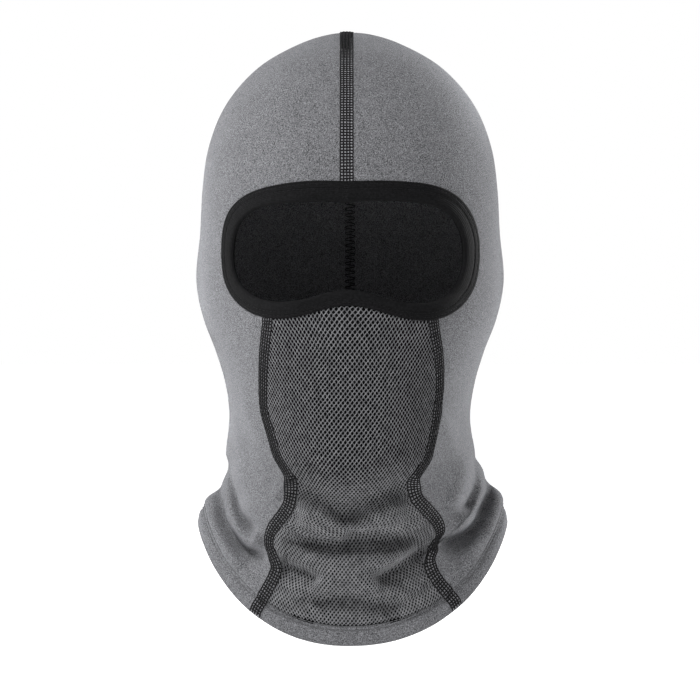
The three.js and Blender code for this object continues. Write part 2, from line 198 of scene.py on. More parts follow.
# %% Strokes
# name: (height, spread on the left of the stroke, spread on its right, sharpness, points in front view)
# A sharpness of 2 is a soft roll. A lower one is a crease.
STROKES = {
    "under the chin, left": (-9.0, 7, 9, 1.4, [
        (-31.5, -100), (-27, -103.5), (-22, -106), (-13, -113), (-4.5, -120.5), (1, -126)]),
    "under the chin, right": (-9.0, 9, 7, 1.4, [
        (33.5, -99), (26.5, -103.5), (20, -107), (8.5, -112), (3.5, -117.5), (1, -126)]),
    "throat roll, left": (6.5, 8, 6.5, 2.0, [
        (-29, -120), (-21.5, -121), (-13.5, -123.5), (-5.5, -127), (1, -129.5)]),
    "throat roll, right": (6.5, 6.5, 8, 2.0, [
        (31, -118), (22, -119), (13.5, -122), (6, -125.5), (1, -129)]),
    "throat crease": (-12.0, 3.4, 8.5, 1.1, [
        (-35.5, -134), (-27, -134), (-20.5, -134.5), (-9.5, -135), (-3, -134), (5, -132), (13, -132),
        (21, -132.5), (31.5, -132), (40, -130)]),
    "collar band": (4.5, 6.5, 6.5, 2.0, [
        (-33.5, -140.5), (-21.5, -143), (-11, -145), (-0.5, -146), (10.5, -145.5), (23.5, -141),
        (34.5, -137)]),
    "collar crease, left": (-7.5, 3.4, 7, 1.2, [
        (-36.5, -145.5), (-30.5, -148), (-22.5, -152), (-16.5, -155.5)]),
    "collar crease, right": (-10, 6.5, 3, 1.1, [
        (41.5, -139.5), (35.5, -140.5), (27.5, -145.5), (20, -150.5), (12.5, -154)]),
    "collar roll, right": (3.5, 4, 4, 2.0, [
        (37, -136.5), (28.5, -141), (21, -145.5), (13.5, -149.5)]),
    "breast crease": (-7.0, 3.4, 7, 1.2, [
        (-30, -166.5), (-17, -164.5), (-5, -163.5), (7, -164.5), (20, -168), (28.5, -168.5)]),
    "breast roll": (3.2, 6, 5, 2.0, [
        (-27, -160), (-13.5, -158), (-0.5, -157.5), (13, -159), (23.5, -161.5)]),
    "left fold, upper": (-15, 3.0, 5.6, 1.4, [
        (-68, -88), (-66, -93), (-62.5, -105), (-59.5, -117.5), (-56, -123.5), (-53, -127.5),
        (-49.5, -129.5)]),
    "left roll, upper": (8, 4.5, 4.5, 2.0, [
        (-70, -96), (-68.5, -102.5), (-67, -111.5), (-63.5, -120.5), (-59.5, -127.5), (-53.5, -131.5),
        (-46.5, -134)]),
    "left fold, lower": (-15.5, 2.6, 5.4, 1.4, [
        (-72, -97), (-70, -105), (-68.6, -114.5), (-66, -123.5), (-62, -131), (-57, -137.5),
        (-50.5, -140), (-43, -142.5)]),
    "left roll, lower": (6, 5, 5, 2.0, [
        (-76, -104), (-73.5, -112), (-72, -122), (-68, -131.5), (-62.5, -140), (-57, -148)]),
    "right roll, inner": (4, 5, 5, 2.0, [
        (62, -78.5), (61, -96), (57.5, -109.5), (55.5, -116)]),
    "right fold, upper": (-16, 7.0, 2.8, 1.4, [
        (70, -82), (67, -90), (64, -101.5), (62.5, -107.5), (60.5, -114.5), (59, -118.5)]),
    "right roll, upper": (8, 4.2, 4.2, 2.0, [
        (70, -90), (69.5, -96), (68.5, -105), (66, -116.5), (62, -123.5), (55, -127.5)]),
    "right fold, lower": (-16.5, 6.8, 2.8, 1.4, [
        (73, -94), (71, -101.5), (70.5, -107.5), (68, -119), (64, -127), (58.5, -131.5), (50.5, -134),
        (44.5, -137)]),
    "right roll, lower": (6, 5, 5, 2.0, [
        (77, -100), (75.5, -106.5), (75.5, -114.5), (73.5, -123.5), (66.5, -136), (58.5, -143)]),
    "left jaw pull, outer": (2.6, 3.2, 3.2, 2.0, [
        (-68, -50), (-66.5, -57.5), (-63.5, -69.5), (-60, -80), (-57.5, -88)]),
    "left jaw pull, inner": (1.8, 3.2, 3.2, 2.0, [
        (-58, -58), (-55.5, -65), (-51, -74.5), (-46.5, -83.5)]),
    "right jaw pull, outer": (-3.0, 3.4, 3.4, 2.0, [
        (58, -66), (59.5, -74.5), (61.5, -82.5), (61, -91.5)]),
    "right jaw pull, inner": (1.8, 3.2, 3.2, 2.0, [
        (48, -60), (50.5, -69.5), (54, -79), (55, -88)]),
}


FADE = 0.22  # share of a stroke over which each of its ends fades
BLUNT = 0.02  # keeps the bottom of a crease from coming to a knife edge


def stroke_height(view, height, left, right, sharpness, line):
    """The height that one stroke adds at each point of the view, fading out at both ends of the line."""
    knots = np.asarray(line, float)
    t = np.linspace(0, len(knots) - 1, 40)
    path = smooth_curve(knots, t)
    best = np.full(view.shape[:2], 1e9)
    across = np.zeros(view.shape[:2])
    along = np.zeros(view.shape[:2])
    for i in range(len(path) - 1):
        a, b = path[i], path[i + 1]
        d = b - a
        size = np.hypot(*d)
        rel = view - a
        u = np.clip((rel @ d) / size**2, 0, 1)
        off = rel - u[..., None] * d
        dist = np.hypot(off[..., 0], off[..., 1])
        nearer = dist < best
        best = np.where(nearer, dist, best)
        across = np.where(nearer, d[0] * rel[..., 1] - d[1] * rel[..., 0], across)
        along = np.where(nearer, (i + u) / (len(path) - 1), along)
    spread = np.where(across > 0, left, right)
    ends = np.clip(along / FADE, 0, 1) * np.clip((1 - along) / FADE, 0, 1)
    ends = ends * (2 - ends)
    if sharpness < 2:
        shape = np.exp(-(((best / spread) ** 2 + BLUNT) ** (sharpness / 2)) + BLUNT ** (sharpness / 2))
    else:
        shape = np.exp(-((best / spread) ** 2))
    return height * ends * shape


def bell(x, width):
    """1 at zero, falling away softly over the width."""
    return np.exp(-((x / width) ** 2))


def step(x, low, high):
    """0 below low, 1 above high, and smooth between."""
    w = np.clip((x - low) / (high - low), 0, 1)
    return w * w * (3 - 2 * w)


# %% [markdown]
# Behind the ears nothing can be seen from the front, so the neck's folds go on there as gentle waves
# that follow the rings.

# %% Heights all over the cloth
LEAN = 2.7  # the collar stands out further on one side
stretched[..., 0] += LEAN * step(-stretched[..., 2], 84, 102) * step(stretched[..., 0], 10, 75)
view = front_view(stretched)
normal = normals_of(stretched)
X, Y, Z = stretched[..., 0], stretched[..., 1], stretched[..., 2]
facing_front = -normal[..., 1]
toward = step(facing_front, 0.02, 0.44) * (Z < -20)
edge_distance = np.linalg.norm(stretched - stretched[-1:], axis=2)

folded = np.zeros(X.shape)
for stroke in STROKES.values():
    folded += stroke_height(view, *stroke)
folded *= 1 - 0.85 * (1 - step(edge_distance, 4, 18))
pressed = folded * toward
height = np.zeros(X.shape)

# nose, two cheeks and chin: height, x, z, breadth, length. Then the ears and the side of the neck.
BULGES = ((5.5, 0, -27, 15, 22), (3, 34, -22, 20, 24), (3, -34, -22, 20, 24), (2.5, 0, -88, 24, 16))
front_side = step(facing_front, 0.1, 0.5)
for tall, x, z, broad, high in BULGES:
    height += front_side * tall * bell(X - x, broad) * bell(Z - z, high)
for ear_x in (-82, 82):
    height += 2.6 * bell(X - ear_x, 18) * bell(Y - 18, 17) * bell(Z - 8, 22)
height += 3.6 * bell(Z + 110, 18) * step(X, 40, 66) * step(0.4 - np.abs(facing_front), -0.4, 0.1)

ring_number = np.broadcast_to(RINGS[:, None], X.shape)
turn = np.broadcast_to(TURNS[None, :], X.shape)
behind = 1 - step(facing_front, -0.8, -0.3)
neck = step(ring_number, 11.0, 12.6) * (1 - step(ring_number, 15.6, 16.2))
waves = (
    np.sin(ring_number * 4.4 + 1.3 * np.sin(turn * 2 + 0.4))
    + 0.6 * np.sin(ring_number * 7.1 + turn * 2 + 1.0)
    + 0.4 * np.sin(ring_number * 2.6 - turn * 3)
)
height += behind * neck * 1.7 * waves

ripple = (
    np.sin(X * 0.21 + Z * 0.12 + 0.7)
    + np.sin(X * 0.13 - Z * 0.17 + 2.1 + Y * 0.1)
    + np.sin(Z * 0.27 + Y * 0.08 + 0.3)
)
height += 0.22 * ripple * step(-Z, 60, 110)

# the turned-up hem is thicker: it swells between its stitching and its fold
HEM_ROWS = (8.0, 10.2)
height *= 1 - 0.75 * (1 - step(edge_distance, 4, 16))
height += 0.55 * bell(edge_distance - 4.2, 3.2)
for row in HEM_ROWS:
    height -= 1.0 * bell(edge_distance - row, 0.85)

# the side folds run on round the edge, where they show as small steps in the outline
AROUND = 0.12
turned = (Z < -60) * step(facing_front, -0.5, -0.1) * (1 - step(facing_front, 0.02, 0.44))
height += AROUND * turned * folded

cloth = stretched + normal * height[..., None]
cloth[..., 1] -= pressed
cloth_normal = normals_of(cloth)
print("relief from", (height + pressed).min().round(1), "to", (height + pressed).max().round(1), "mm")


# %% [markdown]
# ## Finding places on the cloth
#
# Every piece is laid on the cloth by row and column. A place can be read at fractions of a row,
# walked from by a distance, or looked up from the front view.

# %% Reading, walking and looking up
grad_row = np.gradient(cloth, axis=0)
grad_col = (np.roll(cloth, -1, axis=1) - np.roll(cloth, 1, axis=1)) / 2
cloth_view = front_view(cloth)


def read(grid, row, col):
    """The grid's value at fractional rows and columns."""
    row = np.clip(row, 0, ROWS - 1.001)
    i = np.floor(row).astype(int)
    j = np.floor(col).astype(int)
    u = (row - i)[..., None]
    v = (col - j)[..., None]
    j0, j1 = j % COLUMNS, (j + 1) % COLUMNS
    above = grid[i, j0] * (1 - v) + grid[i, j1] * v
    below = grid[i + 1, j0] * (1 - v) + grid[i + 1, j1] * v
    return above * (1 - u) + below * u


def lift(row, col, up):
    """Points above the cloth's face."""
    return read(cloth, row, col) + unit(read(cloth_normal, row, col)) * np.asarray(up)[..., None]


def size_of(piece):
    """The area of one side of a double-faced piece, in square metres."""
    return sum(p.area for p in piece.data.polygons) / 2


def walk(row, col, direction, distance, steps=3):
    """Rows and columns after walking over the cloth in a direction."""
    row, col = np.array(row, float), np.array(col, float)
    for _ in range(steps):
        a, b = read(grad_row, row, col), read(grad_col, row, col)
        aa, ab, bb = (a * a).sum(-1), (a * b).sum(-1), (b * b).sum(-1)
        det = np.maximum(aa * bb - ab * ab, 1e-9)
        da, db = (a * direction).sum(-1), (b * direction).sum(-1)
        row = row + (da * bb - db * ab) / det * distance / steps
        col = col + (db * aa - da * ab) / det * distance / steps
    return row, col


# places that face the viewer, to start each search from
seen = np.argwhere((cloth_normal[..., 1] < -0.02) & (cloth[..., 2] < 120))
tree = kdtree.KDTree(len(seen))
for k, (i, j) in enumerate(seen):
    tree.insert((*cloth_view[i, j], 0.0), k)
tree.balance()


def look_up(points):
    """Rows and columns of the places that show at points of the front view."""
    points = np.asarray(points, float)
    start = np.array([seen[tree.find((x, z, 0.0))[1]] for x, z in points], float)
    row, col = start[:, 0], start[:, 1]
    for _ in range(6):
        a = read(cloth_view, row + 0.5, col) - read(cloth_view, row - 0.5, col)
        b = read(cloth_view, row, col + 0.5) - read(cloth_view, row, col - 0.5)
        miss = points - read(cloth_view, row, col)
        det = a[:, 0] * b[:, 1] - a[:, 1] * b[:, 0]
        det = np.where(np.abs(det) < 0.05, 0.05 * np.sign(det + 1e-12), det)
        row = row + np.clip((miss[:, 0] * b[:, 1] - miss[:, 1] * b[:, 0]) / det, -2, 2)
        col = col + np.clip((a[:, 0] * miss[:, 1] - a[:, 1] * miss[:, 0]) / det, -2, 2)
    return row, col


# %% [markdown]
# ## Shader helper
#
# A material is written as arithmetic. The small class below wraps one shader socket, so that
# `a * 0.5 + noise` makes the Math nodes itself.

# %% A socket that can do sums
class Wire:
    tree = None

    def __init__(self, socket):
        self.socket = socket

    @classmethod
    def node(cls, kind, settings=None, output=0, **inputs):
        """Any node: its settings first, then the values or wires of its inputs."""
        n = cls.tree.nodes.new(kind)
        for key, value in (settings or {}).items():
            setattr(n, key, value)
        for key, value in inputs.items():
            socket = n.inputs[int(key[1:]) if key[1:].isdigit() else key]
            if isinstance(value, Wire):
                cls.tree.links.new(value.socket, socket)
            else:
                socket.default_value = value
        return cls(n.outputs[output])

    def _math(self, operation, other=None):
        inputs = {"_0": self} if other is None else {"_0": self, "_1": other}
        return Wire.node("ShaderNodeMath", {"operation": operation}, 0, **inputs)

    def __add__(self, other):
        return self._math("ADD", other)

    def __sub__(self, other):
        return self._math("SUBTRACT", other)

    def __mul__(self, other):
        return self._math("MULTIPLY", other)

    def sine(self):
        return self._math("SINE")

    def ramp(self, low, high):
        """Rises smoothly from 0 at low to 1 at high."""
        settings = {"interpolation_type": "SMOOTHSTEP"}
        return Wire.node("ShaderNodeMapRange", settings, 0, _0=self, _1=low, _2=high)

    def mix(self, first, second):
        """Colours mixed by this wire: first at 0, second at 1."""
        return Wire.node("ShaderNodeMix", {"data_type": "RGBA"}, 2, _0=self, _6=first, _7=second)

    def scaled(self, x, y, z):
        """A vector wire with each of its parts scaled."""
        return Wire.node("ShaderNodeVectorMath", {"operation": "MULTIPLY"}, 0, _0=self, _1=(x, y, z))

    def shifted(self, other):
        """A vector wire moved by another vector wire."""
        return Wire.node("ShaderNodeVectorMath", {"operation": "ADD"}, 0, _0=self, _1=other)

    def part(self, number):
        """One part of a vector wire: 0, 1 or 2."""
        return Wire.node("ShaderNodeSeparateXYZ", None, number, _0=self)


def object_place():
    return Wire.node("ShaderNodeTexCoord", None, 3)


def cloth_place():
    """The cloth's own measure: metres around and down the hood."""
    return Wire.node("ShaderNodeUVMap", {"uv_map": "cloth"}, 0)


def painted_light_value():
    """How light the piece is painted here, from 0 to 1: painted shade on the net, painted highlight on the
    cloth.
    """
    return Wire.node("ShaderNodeAttribute", {"attribute_name": "tone"}, 2)


def noise(place, scale, detail=2.0, roughness=0.5):
    inputs = {"Vector": place, "Scale": scale, "Detail": detail, "Roughness": roughness}
    return Wire.node("ShaderNodeTexNoise", None, 0, **inputs)


def new_material(name, base, roughness, bump=None, bump_size=0.0002, bump_strength=0.6, **constants):
    """A Principled material. Constants go straight on its sockets; base and bump may be built of wires."""
    material = bpy.data.materials.new(name)
    material.use_nodes = True
    Wire.tree = material.node_tree
    shader = next(n for n in Wire.tree.nodes if n.type == "BSDF_PRINCIPLED")
    for key, value in constants.items():
        shader.inputs[key.replace("_", " ")].default_value = value
    shader.inputs["Roughness"].default_value = roughness
    if callable(base):
        Wire.tree.links.new(base().socket, shader.inputs["Base Color"])
    else:
        shader.inputs["Base Color"].default_value = base
    if bump:
        normal = Wire.node("ShaderNodeBump", None, 0, Strength=bump_strength, Distance=bump_size, Height=bump())
        Wire.tree.links.new(normal.socket, shader.inputs["Normal"])
    return material


# %% [markdown]
# ## Materials
#
# The grey cloth is knitted from yarn spun of light and dark fibres, so it is a fine melange and not
# one grey, and its brushed face has a soft sheen. Threads are smooth and slightly glossy.
# The tape is a dense black elastic knit. The net's yarn is lighter than the near-black sheet behind it, which
# is painted shade for the holes. Shade on the net's strands and a highlight between the seams' threads are
# painted too.

# %% Cloth, mesh, tape and thread
LIGHT_FIBRE = (0.19, 0.191, 0.202, 1)
DARK_FIBRE = (0.022, 0.0222, 0.0235, 1)


def heather_colour_and_painted_highlight():
    place = object_place()
    bend = noise(place, 90.0, 2.0) * 0.004
    bent = place.shifted(Wire.node("ShaderNodeCombineXYZ", None, 0, _0=bend, _1=bend, _2=bend))
    grain = noise(bent, 1900.0, 1.5, 0.55)
    streak = noise(cloth_place().scaled(1.0, 0.6, 1.0), 2400.0, 2.0, 0.6)
    cloud = noise(place, 60.0, 3.0, 0.6)
    mottle = noise(place, 420.0, 2.0, 0.6)
    tone = grain * 0.85 + streak * 0.28 + mottle * 0.09 + cloud * 0.05 - 0.135
    knit = tone.ramp(0.28, 0.74).mix(DARK_FIBRE, LIGHT_FIBRE)
    # painted highlight: where the piece's tone is up, the melange is mixed towards a light grey
    return (painted_light_value() * 0.45).mix(knit, (0.34, 0.34, 0.355, 1))


def knit_bump():
    place = cloth_place()
    wale = place.scaled(5200.0, 0.0, 0.0).part(0).sine()
    course = place.scaled(0.0, 6400.0, 0.0).part(1).sine()
    fuzz = noise(object_place(), 2600.0, 3.0, 0.7)
    return wale * 0.16 + course * 0.12 + fuzz * 1.0


def net_colour_and_painted_shade():
    place = object_place()
    fibre = noise(place, 2600.0, 2.0, 0.6)
    patch = noise(place, 260.0, 2.0)
    shade = (fibre * 0.6 + patch * 0.4).ramp(0.3, 0.7)
    yarn = shade.mix((0.08, 0.081, 0.086, 1), (0.23, 0.231, 0.24, 1))
    # painted shade: the piece's tone mixes the yarn towards near black, darkest down the strands' sides and on
    # strands that lie underneath
    return painted_light_value().mix((0.008, 0.008, 0.009, 1), yarn)


def tape_colour():
    shade = noise(object_place(), 900.0, 3.0, 0.7).ramp(0.3, 0.75)
    return shade.mix((0.002, 0.002, 0.0022, 1), (0.007, 0.007, 0.0076, 1))


def tape_bump():
    rib = cloth_place().scaled(6500.0, 0.0, 0.0).part(0).sine()
    return rib * 0.35 + noise(object_place(), 2200.0, 3.0, 0.7)


def thread_tone(dark, light):
    return lambda: noise(object_place(), 3000.0, 2.0).ramp(0.35, 0.65).mix(dark, light)


def fine_noise(scale, roughness=0.5):
    return lambda: noise(object_place(), scale, 2.0, roughness)


heather = new_material(
    "heather knit", heather_colour_and_painted_highlight, 0.92, knit_bump, 0.00022, 0.8,
    Sheen_Weight=0.22, Sheen_Roughness=0.3, Sheen_Tint=(0.92, 0.94, 1.0, 1), Specular_IOR_Level=0.1,
)
net_yarn = new_material(
    "net yarn", net_colour_and_painted_shade, 0.8, fine_noise(3200.0, 0.7), 0.00012, 0.6,
    Sheen_Weight=0.06, Sheen_Roughness=0.4, Specular_IOR_Level=0.15,
)
# painted shade: a near-black sheet behind the net stands for the shade seen through its holes
net_shade_sheet = new_material(
    "net ground", (0.004, 0.004, 0.0045, 1), 0.95, fine_noise(1800.0), 0.0002, 0.5, Specular_IOR_Level=0.02
)
tape_knit = new_material("binding tape", tape_colour, 0.82, tape_bump, 0.00018, 0.7, Specular_IOR_Level=0.06)
black_tone = thread_tone((0.003, 0.003, 0.0033, 1), (0.012, 0.012, 0.013, 1))
grey_tone = thread_tone((0.05, 0.0505, 0.053, 1), (0.11, 0.111, 0.116, 1))
black_thread = new_material("black thread", black_tone, 0.6, Specular_IOR_Level=0.07)
grey_thread = new_material("grey thread", grey_tone, 0.6, Specular_IOR_Level=0.15)


# %% [markdown]
# ## From points to pieces
#
# One helper turns points and faces into a finished piece: it rides on the part's one body and stands
# for its node of the frame.

# %% Making a piece
def add_object(name, data):
    thing = bpy.data.objects.new(name, data)
    bpy.context.scene.collection.objects.link(thing)
    return thing


def make_piece(name, points, faces, materials, slot, stands_for, uv=None, which=None, tone=None):
    """A finished piece. which picks a material for each face, tone is painted light and shade: how light each
    point is painted.
    """
    mesh = bpy.data.meshes.new(name)
    mesh.from_pydata((np.asarray(points) * MM).tolist(), [], [list(f) for f in faces])
    for m in materials:
        mesh.materials.append(m)
    if uv is not None:
        layer = mesh.uv_layers.new(name="cloth")
        loops = np.empty(len(mesh.loops), dtype=np.int32)
        mesh.loops.foreach_get("vertex_index", loops)
        layer.data.foreach_set("uv", (np.asarray(uv)[loops] * MM).astype(np.float32).ravel())
    if which is not None:
        mesh.polygons.foreach_set("material_index", np.asarray(which, dtype=np.int32))
    if tone is not None:
        values = np.asarray(tone, dtype=np.float32)
        mesh.attributes.new("tone", "FLOAT", "POINT").data.foreach_set("value", values)
    mesh.polygons.foreach_set("use_smooth", np.ones(len(mesh.polygons), dtype=bool))
    mesh.update()
    piece = add_object(name, mesh)
    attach(piece, "root")
    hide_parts(*stands_for)
    print(f"{name}: {len(mesh.polygons)} faces")
    return piece


def sew(name, made, material, node):
    """A piece of thread from points and faces, standing for one node."""
    slot = material.name.replace(" ", "_")
    return make_piece(name, *made, [material], slot, [node])


SIDES = 6


def tubes(paths, ups, radius):
    """Closed round threads. paths is (threads, points, 3) and ups is the direction off the cloth."""
    paths = np.asarray(paths, float)
    count, length = paths.shape[:2]
    along = unit(np.gradient(paths, axis=1))
    up = unit(ups - (ups * along).sum(2, keepdims=True) * along)
    side = np.cross(along, up)
    r = np.broadcast_to(np.asarray(radius, float), (length,))[None, :, None, None]
    angle = (2 * math.pi * np.arange(SIDES) / SIDES)[None, None, :, None]
    ring = np.cos(angle) * up[:, :, None] + np.sin(angle) * side[:, :, None]
    points = (paths[:, :, None] + r * ring).reshape(-1, 3)
    k, m, s = np.meshgrid(np.arange(count), np.arange(length - 1), np.arange(SIDES), indexing="ij")
    start = (k * length + m) * SIDES
    a, b = start + s, start + (s + 1) % SIDES
    faces = np.stack([a, b, b + SIDES, a + SIDES], axis=-1).reshape(-1, 4).tolist()
    for t in range(count):
        first = t * length * SIDES
        last = first + (length - 1) * SIDES
        faces.append([first + i for i in reversed(range(SIDES))])
        faces.append([last + i for i in range(SIDES)])
    return points, faces


def joined(parts):
    """Several (points, faces) as one."""
    points, faces, base = [], [], 0
    for p, f in parts:
        points.append(p)
        faces += [[i + base for i in face] for face in f]
        base += len(p)
    return np.vstack(points), faces


# %% [markdown]
# ## Where the pieces end
#
# The face seams run from under the tape down to the hem. They are drawn in front
# view; on each row of the cloth the column where the seam crosses is found, and that crossing line
# is smoothed, because real stitching never jumps.

# %% Seam lines and the eye outline
LEFT_SEAM = [
    (-43.5, 10), (-44, -15), (-46, -35), (-46.5, -51.5), (-46, -64), (-42.5, -76), (-38.5, -89.5),
    (-33, -98), (-31.5, -107), (-33, -115.5), (-37.5, -122), (-42.5, -129), (-43.5, -136), (-41.5, -142),
    (-38.5, -146.5), (-41, -153.5), (-46, -163), (-51, -172), (-57, -183), (-64, -198),
]
RIGHT_SEAM = [
    (44, 10), (44.5, -16), (47.5, -35.5), (48, -51.5), (46.5, -66), (43.5, -82.5), (41, -91.5), (35, -99),
    (34, -104), (35.5, -111), (41.5, -117.5), (47, -124), (48.5, -129.5), (45.5, -136), (42.5, -140),
    (43, -147.5), (47.5, -156), (53.5, -163), (57.5, -169), (63.5, -180), (71, -195),
]
TAPE_INNER = [
    (-0.5, 47.5), (13.5, 47.5), (26.5, 47.5), (35, 46.5), (42.5, 45.5), (49, 43), (54, 39), (58, 33.5),
    (60, 26.5), (61, 20), (60.5, 14), (59, 8), (56, 2), (52.5, -2), (47.5, -5), (41.5, -6.5), (34, -7),
    (26.5, -6), (20, -5), (13.5, -2.5), (7, -1), (-0.5, 0), (-7.5, -0.5), (-14, -2), (-20.5, -4),
    (-27, -5.5), (-33.5, -6), (-42, -6), (-49.5, -4), (-54.5, -0.5), (-59, 3.5), (-61.5, 9), (-62.5, 15),
    (-62.5, 22.5), (-61.5, 29.5), (-59, 35), (-54.5, 40.5), (-49.5, 43.5), (-43, 45), (-34.5, 46.5),
    (-23.5, 47), (-12, 47.5),
]
TAPE_OUTER = [
    (-0.5, 58), (13.5, 58), (26.5, 58), (35, 57), (42.5, 56), (49, 54.5), (55, 51), (61, 46), (65.5, 39),
    (67.5, 31), (69, 22.5), (68.5, 14), (67.5, 6.5), (65, -1), (60.5, -7), (54.5, -12.5), (47.5, -15),
    (40, -16.5), (33, -15.5), (25.5, -14.5), (19, -12.5), (12.5, -10.5), (6, -9), (-0.5, -8.5), (-6.5, -9),
    (-13, -10), (-19.5, -12), (-26, -14), (-33.5, -15), (-42, -15), (-49.5, -13.5), (-57, -9.5),
    (-62.5, -3), (-67, 5.5), (-68, 15), (-68, 23.5), (-67.5, 32), (-65, 40.5), (-60, 47), (-52.5, 52),
    (-43, 55), (-34.5, 56.5), (-23.5, 58), (-12, 58),
]


LOOP = 420
LOOP_WAVES = 11  # the outline keeps only its broad waves, which rounds it


def even_loop(points):
    """A smooth closed outline, evenly spaced, that starts at its first point."""
    p = np.asarray(points + points[:3], float)
    t = np.linspace(0, len(points), 2048, endpoint=False)
    ring = smooth_curve(p, t)
    closed = np.vstack([ring, ring[:1]])
    length = measure_along(closed)
    at = np.linspace(0, length[-1], LOOP, endpoint=False)
    even = np.stack([np.interp(at, length, closed[:, k]) for k in (0, 1)], axis=1)
    wave = np.fft.fft(even[:, 0] + 1j * even[:, 1])
    wave[LOOP_WAVES + 1 : LOOP - LOOP_WAVES] = 0
    back = np.fft.ifft(wave)
    return np.stack([back.real, back.imag], axis=1)


def evened(values, reach):
    """The values with each replaced by the mean of its neighbours."""
    return np.convolve(np.pad(values, reach, mode="edge"), np.ones(2 * reach + 1) / (2 * reach + 1), "valid")


def seam_columns(line, columns):
    """For each row, the column of the front half where the drawn line crosses it."""
    path = smooth_curve(np.asarray(line, float), np.linspace(0, len(line) - 1, 400))
    found = np.full(ROWS, np.nan)
    for r in range(ROWS):
        x, z = cloth_view[r, columns, 0], cloth_view[r, columns, 1]
        if z.max() > path[0, 1] + 4 or z.min() < path[-1, 1]:
            continue
        gap = x - np.interp(-z, -path[:, 1], path[:, 0])
        cross = np.flatnonzero(np.sign(gap[:-1]) != np.sign(gap[1:]))
        if len(cross):
            k = cross[0] if line[0][0] > 0 else cross[-1]
            found[r] = columns[k] + gap[k] / (gap[k] - gap[k + 1])
    rows = np.flatnonzero(~np.isnan(found))
    filled = np.interp(np.arange(ROWS), rows, found[rows])
    return np.where(np.arange(ROWS) < rows[0], np.nan, evened(filled, 3)), rows[0]


SEAM_REACH = 110
left_seam, left_top = seam_columns(LEFT_SEAM, np.arange(FRONT - SEAM_REACH, FRONT + 1))
right_seam, right_top = seam_columns(RIGHT_SEAM, np.arange(FRONT, FRONT + SEAM_REACH + 1))
tape_inner, tape_outer = even_loop(TAPE_INNER), even_loop(TAPE_OUTER)
# at the join the tape is double and bellies down a little
tape_inner[:, 1] -= 0.9 * bell(tape_inner[:, 0] + 3.0, 5.5) * (tape_inner[:, 1] > 20)
print("seams start at rows", left_top, right_top, "of", ROWS)

# %% [markdown]
# ## The two side panels
#
# Each side panel runs from the back seam round to the crown seam, and below the eyes to the face
# seam. Its columns are spread so that the last one lies exactly on its front edge. The panel has an
# outer face, an inner face and, at the bottom, the turned-up hem: the cloth folds round and comes
# back up inside for twelve millimetres.

# %% The front edges of the side panels
CLOTH = 1.3
HEM = 12.0
CROWN_SHIFT = -1.8
LAP = 3.3
SIDE_STEPS = 226


def row_at(z):
    """The row of the front line that shows at a height."""
    return int(np.argmin(np.abs(cloth_view[:, FRONT, 1] - z)))


def crown_column(row):
    """Where the crown seam runs on the front half: a touch to the left of the middle."""
    columns = np.arange(FRONT - 60, FRONT + 61)
    target = CROWN_SHIFT * step(row, 6, 30)
    return float(np.interp(target, cloth[int(row), columns, 0], columns))


def lapped(seam, side):
    """Columns a few millimetres past the seam, measured square to it."""
    rows = np.flatnonzero(~np.isnan(seam))
    place = rows.astype(float), seam[rows]
    along = unit(np.gradient(lift(*place, 0.0), axis=0))
    across = unit(np.cross(read(cloth_normal, *place), along))
    per_column = np.abs((read(grad_col, *place) * across).sum(1))
    out, square = np.full(ROWS, np.nan), np.ones(ROWS)
    square[rows] = np.maximum(per_column, 0.5)
    out[rows] = seam[rows] + side * LAP / square[rows]
    return out, square


crown = np.array([crown_column(r) if r > 0 else FRONT for r in range(ROWS)])
eye_top_row = row_at(60)
front_edges, square_step = {}, {}
for name, seam, side in (("left", left_seam, 1), ("right", right_seam, -1)):
    edge, square_step[name] = lapped(seam, side)
    first = int(np.flatnonzero(~np.isnan(edge))[0])
    blend = step(np.arange(ROWS), eye_top_row, first + 2)
    edge[:first] = edge[first]
    front_edges[name] = crown * (1 - blend) + edge * blend


def inside_loop(points, loop):
    """Which front-view points lie inside a closed loop."""
    x, z = points[..., 0], points[..., 1]
    result = np.zeros(x.shape, dtype=bool)
    for (x0, z0), (x1, z1) in zip(loop, np.roll(loop, -1, axis=0)):
        if z0 == z1:
            continue
        crosses = (z0 > z) != (z1 > z)
        result ^= crosses & (x < (x1 - x0) * (z - z0) / (z1 - z0) + x0)
    return result


eye_cut = tape_inner + 0.3 * (tape_outer - tape_inner)


# %% [markdown]
# A sheet of cloth is made from rows and columns of places on the hood, a height for its outer face
# and one for its inner face, and a mask of the cells that are cut away.

# %% Sewing up a double-faced sheet
GRID_STEP = 1.24  # millimetres of cloth in one step of the grid
FOLD_STEPS = 6


